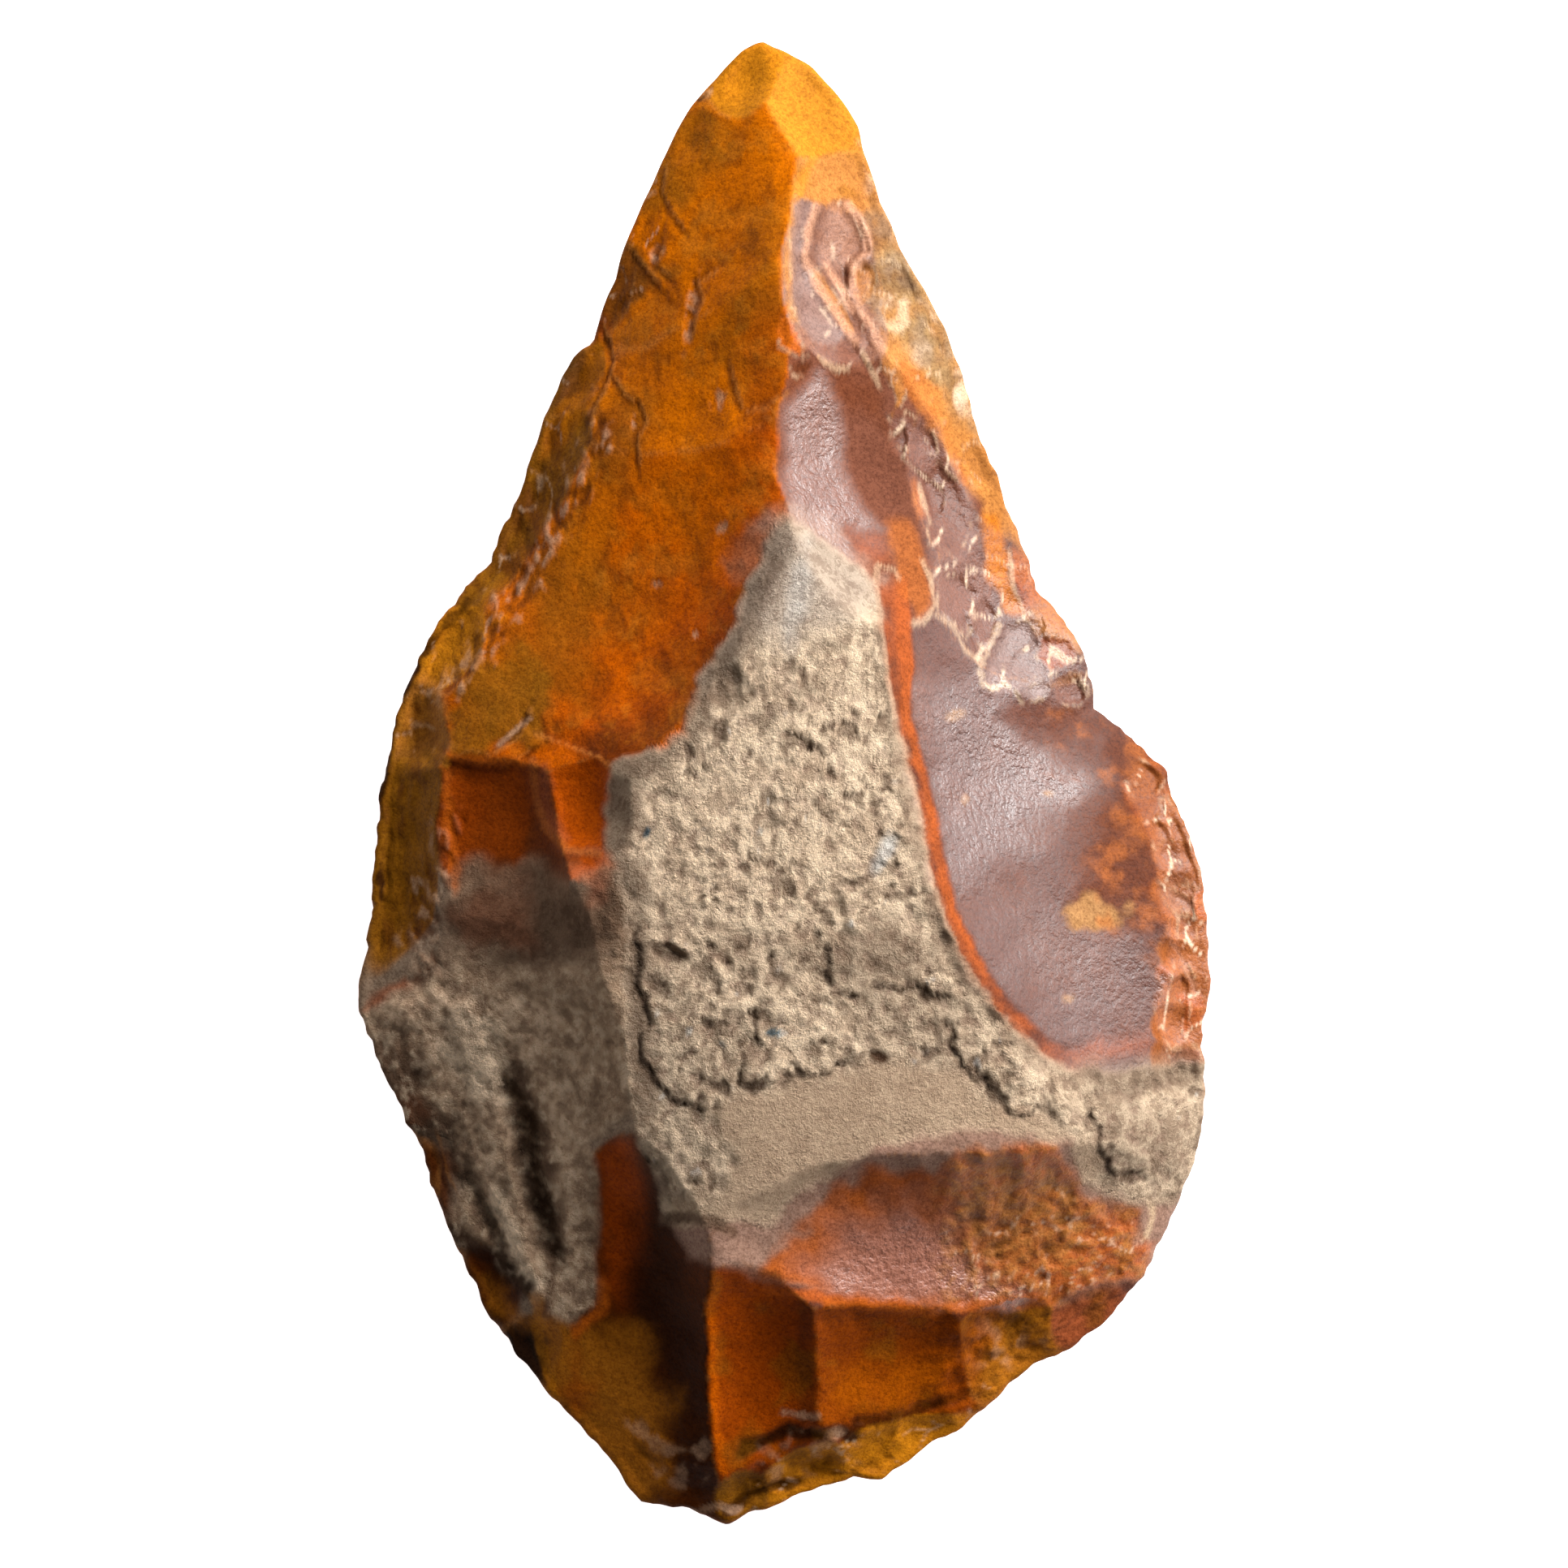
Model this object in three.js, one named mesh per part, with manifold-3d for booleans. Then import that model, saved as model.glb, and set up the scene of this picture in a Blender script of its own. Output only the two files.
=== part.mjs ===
// A pointed hand axe of flint, knapped on both faces, lying on its back on a small flat spot.
// One piece of stone. The blank is a domed slab with the true chipped outline, and every flake scar
// is a shallow bowl that is cut out of it. +Z is up, +Y points to the tip, millimetres.
import * as THREE from 'three';
import { mergeVertices } from 'three/addons/utils/BufferGeometryUtils.js';
import Module from 'manifold-3d';

// Driving dimensions, in millimetres.
const LENGTH = 150; // from the butt to the tip
const WIDTH = 86.4; // across the widest place, low on the body
const FACE_RISE = 20.5; // highest place of the face above the edge
const BACK_RISE = 18.5; // the same on the back, before the flat spot
const FLAT_DEPTH = 0.9; // worn off the back's highest place, where the axe rests
const EDGE_WAVE = 0.7; // how far the edge winders out of its plane, to each side

// Places along and across are in hundredths of the length, as the outline below is read,
// and heights are shares of the face's or the back's rise.
const LISTED_LENGTH = 99.8;
const LISTED_WIDTH = 57.6;
const AXIS_SCALE = LENGTH / LISTED_LENGTH;
const CROSS_SCALE = WIDTH / LISTED_WIDTH;

// Corners of the outline, clockwise from the tip: each is where the edges of two flake scars meet.
const RIGHT_EDGE = [
  [-1.4, 49.9], [1.7, 48.3], [3.4, 46.6], [5.0, 44.3], [5.3, 42.8], [6.5, 39.3], [7.8, 36.2],
  [10.1, 32.3], [11.5, 29.0], [12.7, 25.0], [15.4, 18.0], [17.1, 13.3], [20.0, 9.5], [21.0, 5.2],
  [23.8, 3.0], [25.8, 1.0], [28.0, -5.0], [28.8, -11.0], [28.2, -17.7], [28.6, -19.2],
  [28.1, -24.0], [27.2, -26.9], [24.3, -33.2],
];
const BUTT_EDGE = [
  [20.0, -37.6], [17.2, -38.9], [13.8, -41.9], [8.0, -45.7], [6.5, -46.8], [4.6, -46.8],
  [0.5, -48.0], [-2.2, -49.1], [-3.8, -49.9], [-5.2, -49.1], [-9.6, -48.3], [-12.0, -45.1],
];
const LEFT_EDGE = [
  [-15.1, -41.9], [-18.8, -37.5], [-22.0, -31.3], [-24.9, -23.9], [-28.8, -15.2], [-27.8, -9.0],
  [-27.3, 0.0], [-26.7, 3.2], [-23.8, 10.4], [-19.8, 15.2], [-18.0, 19.3], [-17.2, 22.3],
  [-14.3, 28.9], [-12.9, 29.9], [-11.4, 34.2], [-10.8, 36.3], [-8.0, 42.3], [-6.2, 45.6],
  [-4.6, 47.7], [-2.8, 49.6],
];
const BOW = 0.02; // how far each stretch between two corners bows out, as a share of its length
const SEAT = new THREE.Vector2(0, -8); // the thickest place, which the whole form is measured from

const degrees = THREE.MathUtils.degToRad;
const { smoothstep, euclideanModulo } = THREE.MathUtils;

// The outline as points, each stretch a shallow arc.
function outlinePoints(perStretch) {
  const corners = [...RIGHT_EDGE, ...BUTT_EDGE, ...LEFT_EDGE].map(([x, y]) => new THREE.Vector2(x, y));
  const shape = new THREE.Shape();
  shape.moveTo(corners[0].x, corners[0].y);
  corners.forEach((from, i) => {
    const to = corners[(i + 1) % corners.length];
    const along = to.clone().sub(from);
    const swell = from.clone().add(to).multiplyScalar(0.5);
    swell.add(new THREE.Vector2(-along.y, along.x).multiplyScalar(2 * BOW));
    shape.quadraticCurveTo(swell.x, swell.y, to.x, to.y);
  });
  return shape.getPoints(perStretch).slice(0, -1).reverse();
}
const OUTLINE = outlinePoints(2);

// The same outline worn smooth, for the broad form inside the edge.
function wornOutline(points, passes) {
  let worn = points;
  for (let pass = 0; pass < passes; pass += 1) {
    worn = worn.map((p, i) => {
      const before = worn.at(i - 1);
      const after = worn[(i + 1) % worn.length];
      return new THREE.Vector2((before.x + 2 * p.x + after.x) / 4, (before.y + 2 * p.y + after.y) / 4);
    });
  }
  return worn;
}
const WORN = wornOutline(new THREE.Path(OUTLINE.concat(OUTLINE[0])).getSpacedPoints(240).slice(0, -1), 40);

// Bearing of a point from the seat, and how far out a closed line lies along a bearing.
const bearing = (x, y) => Math.atan2(y - SEAT.y, x - SEAT.x);
function reachOf(points) {
  const polar = points
    .map((p) => ({ at: euclideanModulo(bearing(p.x, p.y), 2 * Math.PI), far: p.distanceTo(SEAT) }))
    .sort((a, b) => a.at - b.at);
  return (angle) => {
    const at = euclideanModulo(angle, 2 * Math.PI);
    const next = polar.findIndex((p) => p.at > at);
    const b = polar[Math.max(next, 0)];
    const a = polar.at(next < 0 ? -1 : next - 1);
    const span = euclideanModulo(b.at - a.at, 2 * Math.PI);
    return a.far + ((b.far - a.far) * euclideanModulo(at - a.at, 2 * Math.PI)) / span;
  };
}
const wornReach = reachOf(WORN);
const edgeReach = reachOf(OUTLINE);

// Distance in from the edge, nought outside it.
function inset(x, y) {
  if (Math.hypot(x - SEAT.x, y - SEAT.y) >= edgeReach(bearing(x, y))) return 0;
  const here = new THREE.Vector2(x, y);
  let nearest = Infinity;
  OUTLINE.forEach((a, i) => {
    const along = OUTLINE[(i + 1) % OUTLINE.length].clone().sub(a);
    const t = THREE.MathUtils.clamp(here.clone().sub(a).dot(along) / along.lengthSq(), 0, 1);
    nearest = Math.min(nearest, here.distanceTo(along.multiplyScalar(t).add(a)));
  });
  return nearest;
}

// The lower of two heights, blended where they are within the given distance of each other.
function softMin(a, b, blend) {
  const h = THREE.MathUtils.clamp(0.5 + (b - a) / (2 * blend), 0, 1);
  return b * (1 - h) + a * h - blend * h * (1 - h);
}

// Shares of the rise: a dome over the seat that thins to the tip, held down near the edge.
// The flaked dome carries the scars, and the unworked blank stands proud of it.
const THINNING = 0.22;
const FLAKED = { power: 2.2, fullness: 0.85, edge: 0.014, slope: 0.08, curve: 0.88 };
const BLANK = { power: 2.3, fullness: 0.72, edge: 0.02, slope: 0.141, curve: 0.8 };
const FOOT = 0.08; // how far beyond the worn outline the dome would meet the edge's plane, as a share
function dome(x, y, form) {
  const r = Math.hypot(x - SEAT.x, y - SEAT.y) / wornReach(bearing(x, y));
  const core = Math.max(1 - (r / (1 + FOOT)) ** form.power, 0) ** form.fullness;
  const rim = form.edge + form.slope * inset(x, y) ** form.curve;
  return Math.min(softMin(core * (1 - THINNING * smoothstep(y, 8, 50)), rim, 0.12), rim);
}

// Height of the winding edge out of its plane.
function edgeWave(x, y) {
  const angle = bearing(x, y);
  const r = Math.min(Math.hypot(x - SEAT.x, y - SEAT.y) / wornReach(angle), 1.1);
  const wave = 0.5 * Math.sin(2 * angle + 0.6) + 0.3 * Math.sin(5 * angle + 1.9) + 0.2 * Math.sin(11 * angle);
  return EDGE_WAVE * wave * r ** 3;
}

const toPart = (x, y, z) => [x * CROSS_SCALE, y * AXIS_SCALE, z];
const RISE = { face: FACE_RISE, back: -BACK_RISE };

// The blank: rings of points from the edge in to the seat, on each side, joined ring to ring.
const RINGS = [0.97, 0.91, 0.81, 0.68, 0.54, 0.4, 0.26, 0.12];
function blankGeometry() {
  const positions = [];
  const triangles = [];
  const addPoint = (x, y, rise) =>
    positions.push(...toPart(x, y, rise * dome(x, y, BLANK) + edgeWave(x, y))) / 3 - 1;
  const ring = (scale, rise) => {
    const step = scale === 1 ? 1 : Math.ceil(1 / scale);
    return OUTLINE.filter((_, i) => i % step === 0).map((p) => {
      const at = SEAT.clone().lerp(p, scale);
      return addPoint(at.x, at.y, rise);
    });
  };
  // Triangles between two closed rows of points that start at the same bearing.
  const join = (outer, inner, turned) => {
    let i = 0;
    let j = 0;
    while (i < outer.length || j < inner.length) {
      const [a, b] = [outer[i % outer.length], inner[j % inner.length]];
      const outerFirst = (i + 1) / outer.length <= (j + 1) / inner.length;
      const c = outerFirst ? outer[(i + 1) % outer.length] : inner[(j + 1) % inner.length];
      triangles.push(...(turned ? [a, b, c] : [a, c, b]));
      if (outerFirst) i += 1;
      else j += 1;
    }
  };
  const rims = Object.entries(RISE).map(([side, rise]) => {
    const turned = side === 'back';
    const rows = [1, ...RINGS].map((scale) => ring(scale, rise));
    rows.slice(1).forEach((row, k) => join(rows[k], row, turned));
    const last = rows.at(-1);
    const middle = addPoint(SEAT.x, SEAT.y, rise);
    last.forEach((a, k) => {
      const b = last[(k + 1) % last.length];
      triangles.push(...(turned ? [a, middle, b] : [a, b, middle]));
    });
    return rows[0];
  });
  join(rims[1], rims[0], false);
  const geometry = new THREE.BufferGeometry();
  geometry.setAttribute('position', new THREE.Float32BufferAttribute(positions, 3));
  geometry.setIndex(triangles);
  return geometry;
}

// A flake scar: an oval bowl at x, y, its long axis turned by so many degrees from +X, with its
// half length and half breadth, and how much of the form's height it takes out at its middle.
// A higher power makes the oval squarer.
const scar = (x, y, turn, long, broad, deep, power = 2) => ({ x, y, turn, long, broad, deep, power });

// A row of scars struck inwards along the edge between two bearings, in degrees, each a little
// different from the next.
function scarRow(from, to, count, long, broad, deep) {
  return Array.from({ length: count }, (_, i) => {
    const at = from + ((to - from) * (i + 0.5)) / count;
    const size = 1 + 0.2 * Math.sin(i * 2.4 + 0.7);
    const depth = edgeReach(degrees(at)) - 0.42 * long * size;
    const x = SEAT.x + depth * Math.cos(degrees(at));
    const y = SEAT.y + depth * Math.sin(degrees(at));
    return scar(x, y, at + 14 * Math.sin(i * 1.9), long * size, broad * (2 - size), deep);
  });
}

const FACE_SCARS = [
  // Tip.
  scar(-2.8, 47.4, 60, 3.4, 2.6, 0.5),
  scar(2.6, 44.6, -48, 5.0, 2.7, 0.45),
  // The long amber faces left of the spine, and the darker strip along the edge below them.
  scar(-6.8, 37.5, 74, 12.5, 5.4, 0.28),
  scar(-7.6, 25.6, 72, 9.5, 6.4, 0.21),
  scar(-11.6, 13.0, 58, 15.5, 9.2, 0.3),
  scar(-11.6, 33.2, 66, 3.6, 1.7, 0.5),
  scar(-14.6, 27.4, 66, 3.6, 2.4, 0.55),
  scar(-18.0, 18.8, 60, 9.5, 3.4, 0.5),
  scar(-22.6, 9.4, 50, 3.6, 2.2, 0.5),
  scar(-25.2, 3.6, 75, 3.6, 2.6, 0.52),
  // Left of the crust: the brown square, the strip outside it and the furrowed flank.
  scar(-19.0, -4.2, 88, 6.4, 4.6, 0.3, 3),
  scar(-13.5, -1.0, 98, 4.4, 3.0, 0.17),
  scar(-26.4, -6.0, 86, 8.6, 3.8, 0.55),
  scar(-21.5, -20, 100, 18, 10.6, 0.36),
  scar(-17.2, -25.2, 106, 11, 2.0, 0.5),
  scar(-21.2, -26.6, 117, 8, 1.7, 0.5),
  scar(-25.0, -26.5, 70, 4.0, 2.6, 0.5),
  scar(-20.2, -33.6, 60, 4.8, 3.2, 0.5),
  scar(-17.4, -38.6, 50, 4.0, 2.4, 0.6),
  // Butt.
  scar(-10.6, -38.4, 96, 15.6, 6.6, 0.5),
  scar(-1.4, -40.0, 92, 9.2, 5.0, 0.38),
  scar(7.0, -38.9, 4, 6.8, 6.2, 0.42),
  scar(15.0, -37.6, 40, 4.4, 3.8, 0.46),
  scar(20.0, -35.8, 30, 3.2, 2.2, 0.5),
  scar(8.3, -44.6, 15, 5.0, 2.8, 0.6),
  scar(1.6, -46.8, 10, 4.2, 2.7, 0.6),
  scar(-2.6, -47.6, 30, 2.4, 1.9, 0.6),
  scar(10.0, -31.0, -2, 14.0, 6.2, 0.31),
  // The big glossy scar on the right, and the shorter ones above it.
  scar(25.5, -0.5, 106, 18.4, 16.3, 0.45),
  scar(5.2, 20.8, 106, 8.2, 5.2, 0.27),
  scar(4.2, 33.8, 92, 6.6, 3.8, 0.42),
  scar(4.4, 40.6, 100, 3.6, 3.2, 0.42),
  scar(9.4, 33.0, 112, 10.5, 3.8, 0.5),
  scar(14.2, 22.5, 112, 9.0, 3.8, 0.48),
  scar(10.6, 19.5, 112, 6.0, 2.6, 0.34),
  scar(16.4, 11.2, 125, 8.0, 5.0, 0.5),
  // Fine trimming of the right edge.
  ...scarRow(-24, 14, 8, 2.8, 2.4, 0.62),
];
// The hidden back: broad flakes struck in from all round, then the edge trimmed.
const BACK_SCARS = [
  ...scarRow(0, 360, 10, 15.5, 9, 0.36),
  ...scarRow(12, 372, 15, 7.5, 5, 0.46),
];

// A cutting body for one scar: a block whose inner side has the scar's surface. Its outer side lies
// clear of the blank, and the inner one stays a little below that, both as shares of the rise.
const BLANK_OVER_FLAKED = 1.9;
const OUTER_SIDE = 1.5;
const INNER_LIMIT = 0.94 * OUTER_SIDE;
function scarCutter({ x, y, turn, long, broad, deep, power }, rise) {
  const margin = (1 + (BLANK_OVER_FLAKED - 1) / deep) ** (1 / power);
  const cell = THREE.MathUtils.clamp(Math.min(long, broad) / 1.9, 1.3, 3.1);
  const [halfLong, halfBroad] = [margin * long, margin * broad];
  const cells = [halfLong, halfBroad].map((half) => Math.ceil((2 * half) / cell));
  const block = new THREE.BoxGeometry(2 * halfLong, 2 * halfBroad, 2, ...cells, 1);
  const points = block.attributes.position;
  const [cos, sin] = [Math.cos(degrees(turn)), Math.sin(degrees(turn))];
  for (let i = 0; i < points.count; i += 1) {
    const [u, v] = [points.getX(i), points.getY(i)];
    const [px, py] = [x + u * cos - v * sin, y + u * sin + v * cos];
    const bowl = 1 - deep * (1 - Math.abs(u / long) ** power - Math.abs(v / broad) ** power);
    const height = points.getZ(i) > 0 ? OUTER_SIDE : Math.min(bowl * dome(px, py, FLAKED), INNER_LIMIT);
    points.setXYZ(i, ...toPart(px, py, rise * height + edgeWave(px, py)));
  }
  if (rise < 0) block.index.array.reverse();
  return block;
}

const wasm = await Module();
wasm.setup();
function toSolid(geometry) {
  const bare = geometry.clone();
  bare.deleteAttribute('normal');
  bare.deleteAttribute('uv');
  const merged = mergeVertices(bare, 1e-4);
  return new wasm.Manifold(
    new wasm.Mesh({
      numProp: 3,
      vertProperties: merged.attributes.position.array,
      triVerts: new Uint32Array(merged.index.array),
    }),
  );
}
function toGeometry(solid) {
  const mesh = solid.getMesh();
  const geometry = new THREE.BufferGeometry();
  geometry.setAttribute('position', new THREE.BufferAttribute(mesh.vertProperties, 3));
  geometry.setIndex(new THREE.BufferAttribute(mesh.triVerts, 1));
  const faceted = geometry.toNonIndexed();
  faceted.computeVertexNormals();
  return faceted;
}

// The stone, centred on its outline and standing on the flat spot at z = 0.
let stone = toSolid(blankGeometry());
FACE_SCARS.forEach((one) => { stone = stone.subtract(toSolid(scarCutter(one, FACE_RISE))); });
BACK_SCARS.forEach((one) => { stone = stone.subtract(toSolid(scarCutter(one, -BACK_RISE))); });
const floor = -BACK_RISE + FLAT_DEPTH;
const ground = new THREE.BoxGeometry(2 * WIDTH, 2 * LENGTH, BACK_RISE).translate(0, 0, floor - BACK_RISE / 2);
stone = stone.subtract(toSolid(ground));

const flint = new THREE.MeshStandardMaterial({ color: 0xa8642a, roughness: 0.45, metalness: 0 });
const handAxe = new THREE.Mesh(toGeometry(stone), flint);
handAxe.name = 'hand_axe';
const box = new THREE.Box3().setFromBufferAttribute(handAxe.geometry.getAttribute('position'));
const middle = box.getCenter(new THREE.Vector3());
handAxe.position.set(-middle.x, -middle.y, -box.min.z);

const part = new THREE.Group();
part.add(handAxe);
export default part;
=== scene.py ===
import math

import bpy
import numpy as np
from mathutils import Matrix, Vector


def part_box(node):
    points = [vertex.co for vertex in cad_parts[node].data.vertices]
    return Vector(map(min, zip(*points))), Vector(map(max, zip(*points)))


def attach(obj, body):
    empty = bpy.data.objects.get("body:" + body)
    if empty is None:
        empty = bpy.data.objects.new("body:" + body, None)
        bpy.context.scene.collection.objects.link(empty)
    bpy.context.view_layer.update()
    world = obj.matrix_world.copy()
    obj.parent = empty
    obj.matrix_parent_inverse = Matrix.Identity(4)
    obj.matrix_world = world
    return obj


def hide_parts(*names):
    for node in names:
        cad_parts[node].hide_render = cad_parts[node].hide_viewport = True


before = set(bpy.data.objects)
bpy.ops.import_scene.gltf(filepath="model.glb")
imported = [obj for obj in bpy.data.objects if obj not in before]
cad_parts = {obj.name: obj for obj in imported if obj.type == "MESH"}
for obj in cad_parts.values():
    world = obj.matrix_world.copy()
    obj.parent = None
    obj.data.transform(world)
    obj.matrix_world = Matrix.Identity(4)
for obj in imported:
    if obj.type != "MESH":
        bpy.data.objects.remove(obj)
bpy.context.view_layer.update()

# The hand axe: one nodule of flint, flaked by hand on both faces to a thin winding edge and a point.
# Old chalky crust is left on the middle of its face, and the flake scars have an amber to brown
# patina with a waxy gloss. It is one height above and one below the edge, carved scar by scar.
low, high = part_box("hand_axe")
LISTED_LENGTH, LISTED_WIDTH = 99.8, 57.6  # the outline is listed in hundredths of the length
ACROSS = (high[0] - low[0]) / LISTED_WIDTH
ALONG = (high[1] - low[1]) / LISTED_LENGTH
FACE_RISE, BACK_RISE = 0.0205, 0.0185
FLAT_DEPTH = 0.0009
EDGE_WAVE = 0.0007
MILLIMETRE = 0.001

# Corners of the outline, clockwise from the tip, where the edges of two scars meet.
RIGHT_EDGE = [
    (-1.4, 49.9), (1.7, 48.3), (3.4, 46.6), (5.0, 44.3), (5.3, 42.8), (6.5, 39.3), (7.8, 36.2),
    (10.1, 32.3), (11.5, 29.0), (12.7, 25.0), (15.4, 18.0), (17.1, 13.3), (20.0, 9.5), (21.0, 5.2),
    (23.8, 3.0), (25.8, 1.0), (28.0, -5.0), (28.8, -11.0), (28.2, -17.7), (28.6, -19.2), (28.1, -24.0),
    (27.2, -26.9), (24.3, -33.2),
]
BUTT_EDGE = [
    (20.0, -37.6), (17.2, -38.9), (13.8, -41.9), (8.0, -45.7), (6.5, -46.8), (4.6, -46.8), (0.5, -48.0),
    (-2.2, -49.1), (-3.8, -49.9), (-5.2, -49.1), (-9.6, -48.3), (-12.0, -45.1),
]
LEFT_EDGE = [
    (-15.1, -41.9), (-18.8, -37.5), (-22.0, -31.3), (-24.9, -23.9), (-28.8, -15.2), (-27.8, -9.0),
    (-27.3, 0.0), (-26.7, 3.2), (-23.8, 10.4), (-19.8, 15.2), (-18.0, 19.3), (-17.2, 22.3), (-14.3, 28.9),
    (-12.9, 29.9), (-11.4, 34.2), (-10.8, 36.3), (-8.0, 42.3), (-6.2, 45.6), (-4.6, 47.7), (-2.8, 49.6),
]
BOW = 0.02  # how far each stretch bows out, as a share of its length
SEAT = np.array((0.0, -8.0))  # the thickest place


def outline(steps):
    corners = np.array(RIGHT_EDGE + BUTT_EDGE + LEFT_EDGE)
    along = np.roll(corners, -1, 0) - corners
    outward = np.stack([-along[:, 1], along[:, 0]], 1)
    points = [corners + along * t + outward * 4 * BOW * t * (1 - t) for t in np.arange(steps) / steps]
    return np.stack(points, 1).reshape(-1, 2)[::-1]


def even_points(line, count):
    closed = np.vstack([line, line[:1]])
    run = np.r_[0, np.cumsum(np.hypot(*np.diff(closed, axis=0).T))]
    at = np.linspace(0, run[-1], count, endpoint=False)
    return np.stack([np.interp(at, run, closed[:, 0]), np.interp(at, run, closed[:, 1])], 1)


EDGE = outline(6)
WORN = even_points(outline(2), 240)
for _ in range(40):
    WORN = (np.roll(WORN, 1, 0) + 2 * WORN + np.roll(WORN, -1, 0)) / 4


def bearing(x, y):
    return np.arctan2(y - SEAT[1], x - SEAT[0])


def reach(line, angle):
    at = bearing(*line.T) % (2 * math.pi)
    order = np.argsort(at)
    far = np.hypot(*(line - SEAT).T)
    return np.interp(angle % (2 * math.pi), at[order], far[order], period=2 * math.pi)


STRAIGHT_PULL = 0.982  # of one long straight stretch at a distance of 1


def inset(x, y):
    """Distance in from the edge, rounded over where two stretches of it are as near."""
    nearest, pull = np.full(x.shape, 1e9), np.zeros(x.shape)
    for a, b in zip(EDGE, np.roll(EDGE, -1, 0)):
        run = b - a
        t = np.clip(((x - a[0]) * run[0] + (y - a[1]) * run[1]) / (run @ run), 0, 1)
        far = (x - a[0] - t * run[0]) ** 2 + (y - a[1] - t * run[1]) ** 2
        nearest = np.minimum(nearest, far)
        pull += math.hypot(*run) / np.maximum(far, 0.01) ** 4
    exact = np.sqrt(nearest)
    rounded = (pull / STRAIGHT_PULL) ** (-1 / 7)
    t = ramp(1, 4, exact)
    return exact * (1 - t) + rounded * t


def ramp(a, b, x):
    t = np.clip((x - a) / (b - a), 0, 1)
    return t * t * (3 - 2 * t)


def soft_min(a, b, blend):
    h = np.clip(0.5 + (b - a) / (2 * blend), 0, 1)
    return b * (1 - h) + a * h - blend * h * (1 - h)


# The dome under the scars: a core over the whole plan, held down by a rim that rises from the edge.
THINNING, THINS_FROM, THINS_TO = 0.22, 8, 50  # toward the tip
FOOT = 0.08
RIM_BLEND = 0.12
FLAKED = dict(power=2.2, fullness=0.85, edge=0.014, slope=0.08, curve=0.88)
BLANK = dict(power=2.3, fullness=0.72, edge=0.02, slope=0.141, curve=0.8)


def dome(x, y, depth, form):
    r = np.hypot(x - SEAT[0], y - SEAT[1]) / reach(WORN, bearing(x, y))
    core = np.clip(1 - (r / (1 + FOOT)) ** form["power"], 0, None) ** form["fullness"]
    rim = form["edge"] + form["slope"] * depth ** form["curve"]
    return np.minimum(soft_min(core * (1 - THINNING * ramp(THINS_FROM, THINS_TO, y)), rim, RIM_BLEND), rim)


def edge_wave(x, y):
    angle = bearing(x, y)
    r = np.minimum(np.hypot(x - SEAT[0], y - SEAT[1]) / reach(WORN, angle), 1.1)
    wave = 0.5 * np.sin(2 * angle + 0.6) + 0.3 * np.sin(5 * angle + 1.9) + 0.2 * np.sin(11 * angle)
    return EDGE_WAVE * wave * r**3


# Seeded noise over the stone's plan.
SEED = 11
chance = np.random.default_rng(SEED)
SHUFFLE = np.tile(chance.permutation(256), 2)
SLANT = chance.uniform(0, 2 * math.pi, 256)
SPOT = chance.uniform(0, 1, (256, 2))


def noise(x, y, size, seed=0):
    x, y = x / size + 13.7 * seed, y / size + 7.3 * seed
    i, j = np.floor(x).astype(int), np.floor(y).astype(int)
    u, v = x - i, y - j
    total = 0
    for di in (0, 1):
        for dj in (0, 1):
            slant = SLANT[SHUFFLE[(SHUFFLE[(i + di) & 255] + j + dj) & 255]]
            weight = ramp(0, 1, 1 - np.abs(u - di)) * ramp(0, 1, 1 - np.abs(v - dj))
            total = total + weight * (np.cos(slant) * (u - di) + np.sin(slant) * (v - dj))
    return 1.5 * total


FINEST = 0.35  # anything smaller is finer than the mesh can carry


def rough_noise(x, y, size, seed=0, layers=4, fade=0.5):
    total = 0
    for k in range(layers):
        if size / 2**k < FINEST:
            break
        x, y = 0.8 * x - 0.6 * y, 0.6 * x + 0.8 * y
        total = total + fade**k * noise(x, y, size / 2**k, seed + k)
    return total


def crumbs(x, y, size, seed=0):
    """Distances to the nearest and the next grain of an uneven packing, and the nearest's own number."""
    x, y = x / size + 5.1 * seed, y / size + 3.7 * seed
    i, j = np.floor(x).astype(int), np.floor(y).astype(int)
    first = np.full(x.shape, 9.0)
    second, number = first.copy(), np.zeros(x.shape, int)
    for di in (-1, 0, 1):
        for dj in (-1, 0, 1):
            which = SHUFFLE[(SHUFFLE[(i + di) & 255] + j + dj) & 255]
            far = np.hypot(i + di + SPOT[which, 0] - x, j + dj + SPOT[which, 1] - y)
            second = np.where(far < first, first, np.minimum(second, far))
            number = np.where(far < first, which, number)
            first = np.minimum(first, far)
    return first, second, number / 255


# The tones of patina and crust, as they show in even light, and a few tones of painted light and shade.
def tone(red, green, blue):
    value = np.array((red, green, blue)) / 255
    return np.where(value > 0.04045, ((value + 0.055) / 1.055) ** 2.4, value / 12.92)


OCHRE = tone(196, 122, 20)
YELLOW = tone(196, 126, 34)
AMBER = tone(196, 101, 0)
DEEP_AMBER = tone(200, 92, 0)
ORANGE = tone(188, 92, 20)
RUST = tone(150, 58, 10)
OLIVE = tone(138, 86, 16)
UMBER = tone(104, 50, 18)
TOFFEE = tone(152, 64, 2)
SIENNA = tone(136, 60, 4)
SOOT = tone(48, 36, 28)
CINDER = tone(84, 38, 6)
EARTH = tone(96, 54, 26)
NIGHT = tone(46, 20, 5)
EMBER = tone(168, 70, 4)
MOSS = tone(176, 106, 26)
PLATE_SHADOW = tone(74, 56, 44)
MUD_AND_SHADE = tone(106, 80, 62)
PEACH_HIGHLIGHT = tone(214, 160, 126)
PUTTY = tone(190, 164, 138)
CLAY = tone(146, 82, 40)
MAUVE = tone(94, 54, 41)
MAUVE_GREY = tone(164, 108, 88)
COCOA = tone(114, 68, 50)
PINK = tone(136, 92, 72)
HONEY = tone(184, 120, 58)
TAN = tone(184, 138, 88)
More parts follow.
